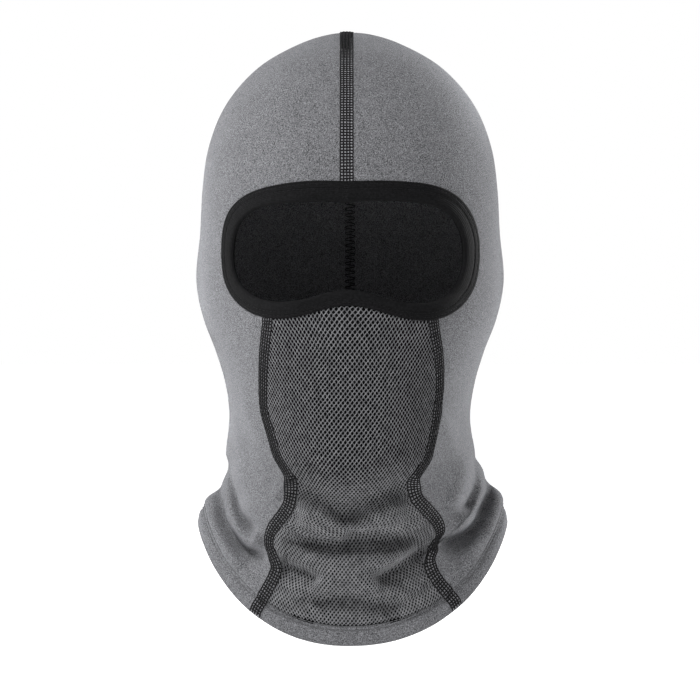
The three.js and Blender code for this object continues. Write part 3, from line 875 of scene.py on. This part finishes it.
def cloth_sheet(rows, cols, outer, inner, keep):
    """Points, faces and uv of a sheet. rows and cols are 2-D arrays of places, outer and inner the
    heights of its faces. The last row gets the rounded fold of the hem."""
    count = rows.shape[1]
    top = lift(rows, cols, outer)
    bottom = lift(rows, cols, inner)
    # the fold: a half circle from the outer to the inner face round the last row
    out_edge, in_edge = top[-1], bottom[-1]
    centre = (out_edge + in_edge) / 2
    down = unit(top[-1] - top[-4])
    thick = np.linalg.norm(out_edge - centre, axis=1, keepdims=True)
    fold = np.array([
        centre + math.cos(angle) * (out_edge - centre) + math.sin(angle) * down * thick
        for angle in np.linspace(0, math.pi, FOLD_STEPS + 2)[1:-1]
    ])
    points = np.concatenate([part.reshape(-1, 3) for part in (top, bottom, fold)])
    lay = np.stack([cols, -rows], axis=-1).reshape(-1, 2)
    fold_rows = -(ROWS + np.arange(FOLD_STEPS) * 0.6)[:, None] + np.zeros(count)
    fold_lay = np.stack([cols[-1] + np.zeros(fold_rows.shape), fold_rows], axis=-1).reshape(-1, 2)
    uv = np.concatenate([lay, lay, fold_lay]) * GRID_STEP
    off = rows.size
    index = np.arange(off).reshape(rows.shape)
    folds = 2 * off + np.arange(FOLD_STEPS * count).reshape(FOLD_STEPS, count)
    a, b, c, d = index[:-1, :-1], index[:-1, 1:], index[1:, 1:], index[1:, :-1]
    quads_out = np.stack([a, d, c, b], axis=-1)[keep]
    quads_in = np.stack([a, b, c, d], axis=-1)[keep] + off
    walls = []
    # edges between kept and missing cells
    padded = np.pad(keep, 1)
    for (di, dj), (p, q) in {(-1, 0): (a, b), (1, 0): (c, d), (0, -1): (d, a), (0, 1): (b, c)}.items():
        neighbour = padded[1 + di : padded.shape[0] - 1 + di, 1 + dj : padded.shape[1] - 1 + dj]
        open_edge = keep & ~neighbour
        if (di, dj) == (1, 0):
            open_edge[-1] = False
        p, q = p[open_edge], q[open_edge]
        walls.append(np.stack([q, p, p + off, q + off], axis=-1))
    last = keep[-1]
    chain = np.concatenate([index[-1:], folds, index[-1:] + off])
    for upper, lower in zip(chain[:-1], chain[1:]):
        corners = upper[:-1], lower[:-1], lower[1:], upper[1:]
        walls.append(np.stack([corner[last] for corner in corners], axis=-1))
    ends = [chain[::-1, 0].tolist(), chain[:, -1].tolist()]
    faces = np.concatenate([quads_out, quads_in, *walls]).tolist() + ends
    return points, faces, uv


def tidy_faces(points, faces, *parallel):
    """Drops faces whose corners fall together and points that no face uses."""
    keep = [k for k, f in enumerate(faces) if len(set(f)) > 2]
    faces = [faces[k] for k in keep]
    used = np.unique(np.concatenate([np.asarray(f) for f in faces]))
    remap = np.full(len(points), -1)
    remap[used] = np.arange(len(used))
    faces = [remap[np.asarray(f)].tolist() for f in faces]
    return points[used], faces, [p[used] if len(p) == len(points) else p[keep] for p in parallel]


def sheet_rows(first, steps):
    """The rows of a sheet from the first one down, the same for each of its columns."""
    return np.repeat(np.arange(first, ROWS, dtype=float)[:, None], steps + 1, axis=1)


def cell_middles(rows, cols):
    """Where the middles of a sheet's cells show in the front view."""
    seen_at = front_view(lift(rows, cols, 0.0))
    return (seen_at[:-1, :-1] + seen_at[1:, 1:]) / 2


def hem_depth(rows, cols):
    """How far places lie above the lower edge."""
    return read(edge_distance[..., None], rows, cols)[..., 0]


SEAM_FACE = 2.5  # half the width of cloth that shows between a seam's threads
SOFT = 0.4  # over how many millimetres the tone changes
share = np.linspace(0, 1, SIDE_STEPS + 1)
for name, start in (("left", 0.0), ("right", float(COLUMNS))):
    rows = sheet_rows(0, SIDE_STEPS)
    cols = start + (front_edges[name][:, None] - start) * share[None, :]
    if name == "right":
        rows, cols = rows[:, ::-1], cols[:, ::-1]
    depth = hem_depth(rows, cols)
    outer = np.zeros(rows.shape)
    from_edge = np.abs(cols - front_edges[name][:, None])
    outer -= np.where(rows > eye_top_row + 20, 0.1 * (1 - step(from_edge * 1.1, 1.0, 7.5)), 0.0)
    inner = -CLOTH - CLOTH * (1 - step(depth, HEM - 0.8, HEM + 0.2))
    facing = read(cloth_normal, rows, cols)[:-1, :-1, 1] < 0.1
    keep = ~(inside_loop(cell_middles(rows, cols), eye_cut) & facing)
    points, faces, uv = cloth_sheet(rows, cols, outer, inner, keep)
    # painted highlight: between the threads of a seam the cloth is painted lighter, as if its brushed fibres
    # bulged out and caught the light
    column_step = np.linalg.norm(read(grad_col, rows, cols), axis=-1)
    below = rows > eye_top_row + 30
    near_front = from_edge * np.where(below, square_step[name][:, None], column_step)
    half = SEAM_FACE
    face = step(near_front, LAP - half - SOFT, LAP - half)
    face = face * (1 - step(near_front, LAP + half, LAP + half + SOFT))
    crown_seam_highlight = 1 - step(near_front, half, half + SOFT)
    back_seam_highlight = 1 - step(np.abs(cols - start) * column_step, half, half + SOFT)
    # tone here is the painted highlight along the face seams, the crown seam and the back seam
    tone = np.maximum(np.where(below, face, crown_seam_highlight), back_seam_highlight)
    tone = np.concatenate([tone.ravel(), np.zeros(len(points) - tone.size)])
    points, faces, (uv, tone) = tidy_faces(points, faces, uv, tone)
    title, node = f"{name}_side_cloth", f"{name}_side_panel"
    panel = make_piece(title, points, faces, [heather], "heather_knit", [node], uv, tone=tone)
    print(f"{name} panel area {size_of(panel) * 1e4:.0f} cm2")


# %% [markdown]
# ## The front panel
#
# Behind lies a near-black sheet, painted shade for the holes. On it stands the net: a lattice of soft
# diamond holes with a rounded strand of yarn round each. Over the nose the net is pulled wide open,
# and down the throat it relaxes and the holes close up. The lowest part is turned up with the hem and has no
# holes.

# %% The painted-shade sheet of the front panel
FRONT_STEPS = 96
front_top = row_at(16)
rows = sheet_rows(front_top, FRONT_STEPS)
share = np.linspace(0, 1, FRONT_STEPS + 1)[None, :]
left_edge = np.nan_to_num(left_seam, nan=left_seam[left_top])
right_edge = np.nan_to_num(right_seam, nan=right_seam[right_top])
cols = left_edge[front_top:, None] + (right_edge - left_edge)[front_top:, None] * share
depth = hem_depth(rows, cols)
in_hem = 1 - step(depth, 10.0, 11.6)
outer = -1.0 + 0.72 * in_hem
inner = -1.5 - CLOTH * (1 - step(depth, HEM - 0.8, HEM + 0.2))
keep = ~inside_loop(cell_middles(rows, cols), eye_cut)
points, faces, uv = cloth_sheet(rows, cols, outer, inner, keep)
# the hem shows the grey cloth, on its face and round its fold
deep = depth[:-1, :-1][keep]
which = np.zeros(len(faces), dtype=int)
which[: len(deep)] = deep < 10.6
which[len(faces) - 2 - (FOLD_STEPS + 1) * FRONT_STEPS :] = 1
points, faces, (uv, which) = tidy_faces(points, faces, uv, which)
# the sheet is near black, painted shade for the holes; only its hem takes the grey cloth
shade_and_heather = [net_shade_sheet, heather]
front_shade_sheet = make_piece(
    "front_ground_cloth", points, faces, shade_and_heather, "mesh_knit", ["front_mesh_panel"], uv, which
)
print("front panel area", round(size_of(front_shade_sheet) * 1e4), "cm2")

# %% [markdown]
# The net is counted, not measured: along each row the cells are numbered from the middle outwards,
# and each number takes as much width as the net is stretched there.

# %% Counting cells across and down
CHIN_ROW, NOSE_ROW = float(row_at(-98)), float(row_at(-22))
NET_REACH = 70


def near_nose(row):
    return 1 - step(row, NOSE_ROW - 12, NOSE_ROW + 14)


def cell_width(row, across):
    """Width of one cell in millimetres, at a row and a distance from the middle."""
    face = 1 - step(row, CHIN_ROW - 8, CHIN_ROW + 18)
    from_middle = np.abs(across)
    wide = 2.45 - 0.22 * step(from_middle, 8, 26) + 0.5 * near_nose(row) * (1 - step(from_middle, 6, 22))
    throat = 2.15 - 0.1 * step(from_middle, 10, 45)
    return wide * face + throat * (1 - face)


def cell_height(row):
    return 3.2 - 0.25 * step(row, CHIN_ROW - 6, CHIN_ROW + 22) + 0.4 * near_nose(row)


front_columns = np.arange(FRONT - NET_REACH, FRONT + NET_REACH + 1)
PART_CELL = 0.25
counts = np.arange(-44, 44 + PART_CELL, PART_CELL)
count_to_column = np.zeros((ROWS, len(counts)))
for r in range(ROWS):
    line = cloth[r, front_columns]
    gaps = np.linalg.norm(np.diff(line, axis=0), axis=1)
    across = measure_along(line)
    across -= np.interp(0.0, line[:, 0], across)
    middle = (across[1:] + across[:-1]) / 2
    number = np.concatenate([[0], np.cumsum(gaps / cell_width(r, middle))])
    number -= np.interp(0.0, across, number)
    count_to_column[r] = np.interp(counts, number, front_columns)
flat_down = evened(np.linalg.norm(np.diff(stretched[:, FRONT], axis=0), axis=1), 4)
number_down = np.concatenate([[0], np.cumsum(flat_down / cell_height(np.arange(ROWS - 1)))])


def net_place(p, q):
    """Row and column of the place p cells down and q cells across."""
    row = np.interp(p, number_down, np.arange(ROWS))
    i = np.clip(np.floor(row).astype(int), 0, ROWS - 2)
    u = row - i
    k = np.clip((q - counts[0]) / PART_CELL, 0, len(counts) - 1.001)
    j = np.floor(k).astype(int)
    v = k - j
    a = count_to_column[i, j] * (1 - v) + count_to_column[i, j + 1] * v
    b = count_to_column[i + 1, j] * (1 - v) + count_to_column[i + 1, j + 1] * v
    return row, a * (1 - u) + b * u


# %% The cells of the net
random = np.random.default_rng(7)
first_p = int(number_down[front_top] * 2)
last_p = int(number_down[-1] * 2)
i, j = np.meshgrid(np.arange(first_p, last_p), np.arange(-84, 85), indexing="ij")
even = (i + j) % 2 == 0
i, j = i[even], j[even]
wobble = random.normal(0, 0.035, (last_p + 3, 200, 2))


def node_shift(a, b):
    """A small random shift of a crossing of strands, the same for every cell that meets there."""
    return wobble[np.clip(a, 0, last_p + 2), np.clip(b + 100, 0, 199)]


corner = np.array([(-1, 0), (0, 1), (1, 0), (0, -1)])
around_cell = [np.stack([i + a, j + b], axis=-1) / 2 + node_shift(i + a, j + b) for a, b in corner]
corners = np.stack(around_cell, axis=1)
middles = (corners + np.roll(corners, -1, axis=1)) / 2
RIM = 8  # points round a cell: its corners and the middles of its strands
ring = np.stack([corners, middles], axis=2).reshape(len(i), RIM, 2)
centre = corners.mean(axis=1, keepdims=True)
centre_row, centre_col = net_place(centre[:, 0, 0], centre[:, 0, 1])
left_limit = np.interp(centre_row, np.arange(ROWS), left_edge) + 0.4
right_limit = np.interp(centre_row, np.arange(ROWS), right_edge) - 0.4
centre_view = front_view(lift(centre_row, centre_col, 0.0))
good = (centre_col > left_limit) & (centre_col < right_limit) & ~inside_loop(centre_view, eye_cut)
good &= hem_depth(centre_row, centre_col) > 10.8
ring, centre = ring[good], centre[good]
cells = len(ring)
relaxed = step(np.interp(ring[:, :1, 0], number_down, np.arange(ROWS)), CHIN_ROW - 4, CHIN_ROW + 20)
rim_scale = np.tile([0.62, 0.72], 4)[None, :] * (1 - 0.2 * relaxed)
rim_scale = rim_scale * (1 + random.normal(0, 0.025, (cells, 1)))
rim = centre + (ring - centre) * rim_scale[..., None]
pit = centre + (ring - centre) * rim_scale[..., None] * 0.9
# of the two diagonals, one lies on top: to the left the one that falls to the right, elsewhere the other
drift = 0.25 * np.sin(ring[:, :, 0] * 0.31 + 1.9) * np.cos(ring[:, :, 1] * 0.27 - 0.4)
climbing = np.clip(0.12 + 0.72 * step(ring[:, :, 1], -13, -6) + drift, 0, 1)
climbing = climbing * (1 - 0.4 * relaxed) + 0.5 * 0.4 * relaxed
falls, climbs = (np.array(k * 2, bool)[None] for k in ([0, 1, 0, 0], [0, 0, 0, 1]))
on_top = np.where(falls, 1 - climbing, np.where(climbs, climbing, 0.8))
crest = 0.06 - 0.34 * (1 - on_top)
heights = [crest, crest * 0.5 - 0.36, np.full(crest.shape, -0.94)]
# painted shade: strands that lie under the others are painted darker, the sides of each strand darker still and
# the bottom of each hole black; at the throat the sides are painted less dark
painted_shade_levels = [0.32 + 0.68 * on_top, 0.10 + 0.30 * on_top + 0.32 * relaxed, np.zeros(crest.shape)]
levels = [lift(*net_place(level[..., 0], level[..., 1]), up) for level, up in zip((ring, rim, pit), heights)]
points = np.stack(levels, axis=1).reshape(-1, 3)
cell, level, s = np.meshgrid(np.arange(cells), np.arange(2), np.arange(RIM), indexing="ij")
first = (cell * len(levels) + level) * RIM
a, b = first + s, first + (s + 1) % RIM
quads = np.stack([a, a + RIM, b + RIM, b], axis=-1).reshape(-1, 4)
# crossings that several cells share become one point, so that the strands are smooth
key = np.round(ring.reshape(-1, 2) / 0.02).astype(np.int64)
_, first_index, inverse = np.unique(key, axis=0, return_index=True, return_inverse=True)
outer_ids = a[:, 0].ravel()
merged = np.arange(len(points))
merged[outer_ids] = outer_ids[first_index][np.ravel(inverse)]
quads = merged[quads]
# the walls down into each hole take the near-black sheet's material, painted shade
which = np.tile(np.repeat([0, 1], RIM), cells)
tone = np.stack(painted_shade_levels, axis=1).ravel()
points, quads, (tone,) = tidy_faces(points, quads.tolist(), tone)
which, yarn_and_shade = which[: len(quads)], [net_yarn, net_shade_sheet]
front_net = make_piece(
    "front_net_yarn", points, quads, yarn_and_shade, "mesh_knit", ["front_mesh_panel"], which=which, tone=tone
)
print("cells in the net:", cells)


# %% [markdown]
# ## The tape round the eye opening
#
# The tape is folded lengthwise over the raw edge: an outer leaf, a fold at the opening, and an inner
# leaf. It is drawn once as a section, and the section is carried round between the two outlines.

# %% Section and sweep of the tape
# share of the way from the fold to the outer edge, and height above the cloth
TAPE_SECTION = [
    (1.000, 0.02), (1.012, 0.18), (1.010, 0.42), (0.985, 0.68), (0.945, 0.84), (0.895, 0.90),
    (0.860, 0.84), (0.845, 0.70), (0.830, 0.84), (0.790, 0.98), (0.720, 1.05), (0.665, 1.00),
    (0.640, 0.86), (0.622, 0.78), (0.604, 0.86), (0.570, 1.02), (0.480, 1.12), (0.360, 1.18),
    (0.240, 1.18), (0.140, 1.08), (0.060, 0.84), (0.010, 0.44), (-0.014, -0.05), (-0.018, -0.60),
    (0.002, -1.20), (0.050, -1.75), (0.130, -2.15), (0.260, -2.38), (0.450, -2.42), (0.650, -2.38),
    (0.790, -2.20), (0.830, -1.90), (0.800, -1.62), (0.600, -1.56), (0.360, -1.56), (0.300, -1.30),
    (0.290, -0.60), (0.300, 0.00), (0.400, 0.05), (0.700, 0.03), (0.940, 0.02),
]
WELT = 21  # number of the section's point on the very edge of the opening
section = np.array(TAPE_SECTION)
count = len(section)
numbers = np.arange(LOOP)
turn = numbers * 2 * math.pi / LOOP
swell = 0.05 * np.sin(turn * 9 + 0.6) + 0.05 * np.sin(turn * 17 + 2.0) + 0.03 * np.sin(turn * 31)
place = tape_inner[:, None] + section[None, :, 0, None] * (tape_outer - tape_inner)[:, None]
tape_row, tape_col = look_up(place.reshape(-1, 2))
# where the tape's ends lap over each other it is thicker
tape_step = np.hypot(*(np.roll(tape_outer, -1, axis=0) - tape_outer).T).mean()
from_join = (numbers + LOOP / 2) % LOOP - LOOP / 2 + 1.3 / tape_step
lapping = step(from_join, -1.2, 0.2) * (1 - step(from_join, 5, 12))
up = section[None, :, 1]
bulk = np.where(up > 0.1, 1.0, 0.0)
tape_lift = up * (1 + swell[:, None] * bulk) + 0.42 * lapping[:, None] * bulk * np.minimum(up, 1.0)
tape_points = lift(tape_row, tape_col, tape_lift.ravel())
k, s = np.meshgrid(numbers, np.arange(count), indexing="ij")
after, onward = (k + 1) % LOOP, (s + 1) % count
corners = [k * count + s, k * count + onward, after * count + onward, after * count + s]
quads = np.stack(corners, axis=-1).reshape(-1, 4)
section_length = np.concatenate([[0], np.cumsum(np.hypot(*(np.diff(section, axis=0) * (10, 1)).T))])
tape_uv = np.stack([section_length[s], k * 0.9], axis=-1).reshape(-1, 2)
tape = make_piece(
    "eye_binding", tape_points, quads.tolist(), [tape_knit], "binding_tape", ["eye_tape"], tape_uv
)
welt = tape_points.reshape(LOOP, count, 3)[:, WELT]
opening = measure_along(np.vstack([welt, welt[:1]]))[-1]
print("tape area", round(size_of(tape) * 1e4, 1), "cm2, edge of the opening", round(opening), "mm")

# %% [markdown]
# ## Stitches
#
# A seam is a path over the cloth. Stitches sit at even steps along it and at a distance to its side,
# and each is a short thread that rises out of the cloth and dips back in.

# %% Paths and stitch lines
class Path:
    """A line over the cloth, measured along its length."""

    def __init__(self, rows, cols):
        self.rows, self.cols = np.asarray(rows, float), np.asarray(cols, float)
        self.measure = measure_along(lift(self.rows, self.cols, 0.0))
        self.length = self.measure[-1]

    def spot(self, s):
        return np.interp(s, self.measure, self.rows), np.interp(s, self.measure, self.cols)

    def at(self, s, offset=0.0):
        """Rows and columns at distances along the path, moved to its side."""
        s = np.asarray(s, float)
        row, col = self.spot(s)
        along = unit(lift(*self.spot(s + 0.7), 0.0) - lift(*self.spot(s - 0.7), 0.0))
        side = unit(np.cross(along, read(cloth_normal, row, col)))
        return walk(row, col, side, np.broadcast_to(np.asarray(offset, float), s.shape))

    def place(self, s, offset, up):
        """Points above the cloth, and the direction off the cloth there."""
        row, col = self.at(s, offset)
        return lift(row, col, np.broadcast_to(np.asarray(up, float), row.shape)), read(cloth_normal, row, col)


def starts(path, pitch, start, end, fewest=1):
    """Even steps along a path: how many, how long, and where each begins."""
    end = path.length if end is None else end
    count = max(fewest, int((end - start) / pitch))
    step_length = (end - start) / count
    return count, step_length, start + np.arange(count)[:, None] * (end - start) / count


def stitch_line(path, pitch, offset, part, up, radius, start=0.5, sag=0.25, end=None):
    """Straight stitches along a path, as points and faces."""
    count, pitch, begin = starts(path, pitch, start, end)
    t = np.linspace(-0.5, 0.5, 7)
    ends = np.abs(2 * t)
    s = begin + pitch * (0.5 + part * t[None, :])
    arch = up + sag * (1 - ends**2.4) - sag * 0.9 * ends**6 + jitter.normal(0, 0.02, (count, 1))
    slide, twist = jitter.normal(0, 0.045, (count, 1)), jitter.normal(0, 0.045, (count, 1))
    line, n = path.place(s, offset + slide + twist * 2 * t, arch)
    return tubes(line, n, radius * (1 - 0.28 * ends**4))


def rungs(path, pitch, reach, up, radius, start=0.5, bumps=()):
    """Threads that cross the seam from edge to edge, riding over each needle line."""
    count, pitch, begin = starts(path, pitch, start, None)
    t = np.linspace(-1, 1, 13)
    s = begin + jitter.normal(0, 0.07, (count, 1)) + jitter.normal(0, 0.07, (count, 1)) * t
    arch = up + sum(0.16 * bell(t * reach - b, 0.5) for b in bumps) - 0.3 * np.abs(t) ** 10
    line, n = path.place(s, reach * t[None, :], arch)
    return tubes(line, n, radius)


def looper(path, pitch, reach, up, radius, start=0.5, end=None):
    """One long thread that swings from side to side under the seam."""
    count, pitch, begin = starts(path, pitch, start, end, fewest=2)
    t = np.linspace(0, count, count * 8 + 1)
    line, n = path.place(start + t * pitch, reach * np.clip(1.6 * np.sin(math.pi * t), -1, 1), up)
    return tubes(line[None], n[None], radius)


# %% [markdown]
# The flat seams: three needle lines, a cover thread that crosses over them like the rungs of a
# ladder and turns at both edges, and a looper thread inside. The crown seam runs from the tape over
# the top of the head and down the back. The face seams run from the tape down to the hem.

# %% Crown seam and face seams
NEEDLE_GAP = 1.68
PITCH = 1.77
REACH = 3.4
THREAD = 0.42
jitter = np.random.default_rng(11)
tape_top_row = float(look_up([(CROWN_SHIFT, 57.0)])[0][0])


class CrownPath(Path):
    """The seam over the crown. Close to the top of the grid its columns run together, so there the
    seam is laid as a ribbon in space; further down the back it follows the cloth like any path."""

    def __init__(self):
        front_rows = np.concatenate([[tape_top_row], np.arange(int(tape_top_row) + 1, 1, -1, dtype=float)])
        front_cols = crown[front_rows.astype(int)]
        back_rows = np.append(np.arange(3, ROWS - 1, dtype=float), ROWS - 1.001)
        shift = CROWN_SHIFT * (1 - step(back_rows, 2, 60))
        middle = np.zeros(len(back_rows))
        side_step = np.maximum(np.linalg.norm(read(grad_col, back_rows, middle), axis=-1), 0.05)
        self.back = Path(back_rows, -shift / side_step)
        front, back = lift(front_rows, front_cols, 0.0), lift(back_rows, self.back.cols, 0.0)
        self.points = np.concatenate([front, cloth[:1, FRONT], back])
        self.points[: len(front) + 4, 0] = CROWN_SHIFT
        back_normals = read(cloth_normal, back_rows, middle)
        self.normals = np.concatenate([read(cloth_normal, front_rows, front_cols), [(0, 0, 1)], back_normals])
        self.measure = measure_along(self.points)
        self.length = self.measure[-1]
        self.top = self.measure[len(front)]
        self.back_measure = self.measure[len(front) + 1 :]

    def read_at(self, table, s):
        return np.stack([np.interp(s, self.measure, table[:, k]) for k in range(3)], axis=-1)

    def place(self, s, offset, up):
        s = np.asarray(s, float)
        offset, up = (np.broadcast_to(np.asarray(v, float), s.shape) for v in (offset, up))
        along = unit(self.read_at(self.points, s + 0.9) - self.read_at(self.points, s - 0.9))
        side = unit(np.array([1.0, 0.0, 0.0]) - along * along[..., :1])
        n = np.cross(side, along)
        n = np.where((n * self.read_at(self.normals, s)).sum(-1, keepdims=True) < 0, -n, n)
        # to both sides of the middle line the cloth falls away
        curve = np.interp(s, [0, self.top - 60, self.top, self.top + 60], [170, 80, 42, 80])
        off_cloth = up - offset**2 / (2 * curve)
        ribbon = self.read_at(self.points, s) + side * offset[..., None] + n * off_cloth[..., None]
        follow, follow_n = self.back.place(np.interp(s, self.back_measure, self.back.measure), offset, up)
        along_cloth = step(s, self.back_measure[0] + 14, self.back_measure[0] + 40)[..., None]
        return ribbon + (follow - ribbon) * along_cloth, n + (follow_n - n) * along_cloth


crown_path = CrownPath()
NEEDLES = (-NEEDLE_GAP, 0.0, NEEDLE_GAP)


def flat_seam(path, title, node, low, from_inside, looper_from):
    """All five threads of one flat seam."""
    for number, offset in enumerate(NEEDLES, 1):
        thread = stitch_line(path, PITCH, offset, 0.9, low + 0.12, THREAD, sag=0.2, start=0.2)
        sew(f"{title}_needle_{number}", thread, black_thread, f"{node}_needle_thread_{number}")
    edges = [
        stitch_line(path, PITCH, reach, 0.98, low + 0.05, 0.38, sag=0.12, start=0.2)
        for reach in (-REACH, REACH)
    ]
    cover = joined([rungs(path, PITCH, REACH, low, 0.44, start=0.2, bumps=NEEDLES), *edges])
    sew(f"{title}_cover", cover, black_thread, f"{node}_cover_thread")
    inside = looper(path, PITCH, 2.6, from_inside, 0.26, start=looper_from, end=path.length - HEM)
    sew(f"{title}_looper", inside, black_thread, f"{node}_looper_thread")
    print(title, "seam", round(path.length), "mm")


flat_seam(crown_path, "crown", "crown_seam", 0.0, -CLOTH - 0.25, 12.0)
for name, seam in (("left", left_seam), ("right", right_seam)):
    rows_here = np.flatnonzero(~np.isnan(seam))
    seen_at = front_view(lift(rows_here.astype(float), seam[rows_here], 0.0))
    under_tape = inside_loop(seen_at, tape_inner + 0.96 * (tape_outer - tape_inner))
    rows_here = rows_here[~under_tape & (rows_here > eye_top_row + 40)]
    path = Path(rows_here, seam[rows_here])
    flat_seam(path, f"{name}_face", f"{name}_face_seam", -0.04, -1.75, 0.5)


# %% Hem stitches and the stitches of the tape
def hem_path(distance):
    """A path round the hem at a distance from its lower edge."""
    rows_found = [ROWS - 1 - np.interp(distance, d, np.arange(ROWS)) for d in edge_distance[::-1].T]
    rows_found = np.array(rows_found + rows_found[:2])
    return Path(rows_found, np.arange(COLUMNS + 2, dtype=float))


HEM_PITCH = 2.8
for name, distance in (("upper", HEM_ROWS[1]), ("lower", HEM_ROWS[0])):
    path = hem_path(distance)
    thread = stitch_line(path, HEM_PITCH, 0.0, 0.84, 0.0, 0.24, sag=0.16, start=0.0, end=path.length - 1.2)
    sew(f"hem_stitches_{name}", thread, grey_thread, f"hem_needle_thread_{name}")
path = hem_path(sum(HEM_ROWS) / 2)
thread = looper(path, HEM_PITCH / 2, 1.6, -2 * CLOTH - 0.25, 0.22, end=path.length - 1.5)
sew("hem_looper", thread, grey_thread, "hem_looper_thread")
print("hem round", round(path.length), "mm")


def tape_path(share):
    """A path round the tape, at a share of its width from the opening."""
    row, col = look_up(tape_inner + share * (tape_outer - tape_inner))
    return Path(np.append(row, row[:1]), np.append(col, col[:1]))


for name, share in (("outer", 0.845), ("inner", 0.622)):
    path = tape_path(share)
    thread = stitch_line(path, 2.6, 0.0, 0.86, 0.76, 0.17, sag=0.14, start=0.0)
    sew(f"tape_stitches_{name}", thread, black_thread, f"eye_tape_needle_thread_{name}")
sew("tape_looper", looper(tape_path(0.72), 1.3, 1.0, -2.5, 0.17), black_thread, "eye_tape_looper_thread")

# seven short bars across the join at the top of the opening
bars = []
t = np.linspace(0, 1, 7)[:, None]
rise = 1.32 + 0.12 * np.sin(math.pi * t[:, 0]) + 0.15 * t[:, 0] - 0.4 * (np.abs(2 * t[:, 0] - 1) ** 8)
for k, share in enumerate(np.linspace(0.12, 0.92, 7)):
    left_end = tape_inner[0] + share * (tape_outer[0] - tape_inner[0]) + (CROWN_SHIFT - 0.6, 0.25 * (-1) ** k)
    place = look_up(left_end + (2.2, 0.0) * t)
    bars.append(tubes(lift(*place, rise)[None], read(cloth_normal, *place)[None], 0.17))
sew("tape_join", joined(bars), black_thread, "eye_tape_join_stitches")

# %% [markdown]
# ## The side panels
#
# The knit is worn stretched, so the flat pieces are smaller than what shows.

# %% Looking up the side panels
for name in ("left", "right"):
    panel = bpy.data.objects[f"{name}_side_cloth"]

# %% [markdown]
# ## Floor, light and camera
#
# A white floor and white surroundings. The key light comes from the front, high on the left. Two
# tall soft lights, one at the left side and one behind on the right, make the outline glow.

# %% The studio
low = (float(cloth[..., 2].min()) - 6.0) * MM
size = 40.0
floor_mesh = bpy.data.meshes.new("floor")
around_floor = ((-size, -size), (size, -size), (size, size), (-size, size))
floor_mesh.from_pydata([(x, y, low) for x, y in around_floor], [], [(0, 1, 2, 3)])
floor = add_object("floor", floor_mesh)
floor_material = bpy.data.materials.new("white floor")
floor_material.use_nodes = True
floor_shader = next(n for n in floor_material.node_tree.nodes if n.type == "BSDF_PRINCIPLED")
floor_look = {
    "Base Color": (0.75, 0.75, 0.75, 1),
    "Roughness": 0.9,
    "Emission Color": (1, 1, 1, 1),
    "Emission Strength": 0.75,
}
for key, value in floor_look.items():
    floor_shader.inputs[key].default_value = value
floor_mesh.materials.append(floor_material)

world = bpy.data.worlds.new("studio")
bpy.context.scene.world = world
world.use_nodes = True
backdrop = next(n for n in world.node_tree.nodes if n.type == "BACKGROUND")
backdrop.inputs["Color"].default_value = (1.0, 1.0, 1.0, 1)
backdrop.inputs["Strength"].default_value = 0.37
Wire.tree = world.node_tree
white = Wire.node("ShaderNodeBackground", None, 0, Color=(1, 1, 1, 1), Strength=1.0)
seen_directly = Wire.node("ShaderNodeLightPath", None, 0)
sky = Wire.node("ShaderNodeMixShader", None, 0, _0=seen_directly, _1=Wire(backdrop.outputs[0]), _2=white)
world_output = next(n for n in world.node_tree.nodes if n.type == "OUTPUT_WORLD")
world.node_tree.links.new(sky.socket, world_output.inputs[0])


def soft_light(name, place, aim, size_x, size_y, power):
    data = bpy.data.lights.new(name, "AREA")
    data.shape = "RECTANGLE"
    data.size, data.size_y, data.energy = size_x, size_y, power
    lamp = add_object(name, data)
    lamp.location = place
    lamp.rotation_euler = (Vector(aim) - Vector(place)).to_track_quat("-Z", "Y").to_euler()


bpy.context.scene.view_settings.view_transform = "Standard"
middle = (0.0, 0.0, -0.03)
soft_light("key", (-0.5, -1.05, 1.5), middle, 0.42, 0.42, 41)
soft_light("left strip", (-1.1, 0.2, 0.2), middle, 0.4, 1.2, 17)
soft_light("right strip", (0.85, 0.75, 0.35), middle, 0.3, 1.0, 19)

camera_data = bpy.data.cameras.new("camera")
camera_data.sensor_width = 36.0
camera_data.lens = 193.0
camera = add_object("camera", camera_data)
camera.location = (0.0, (EYE_PLANE - VIEW_DISTANCE) * MM, VIEW_HEIGHT * MM)
camera.rotation_euler = (math.radians(90), 0.0, 0.0)
bpy.context.scene.camera = camera
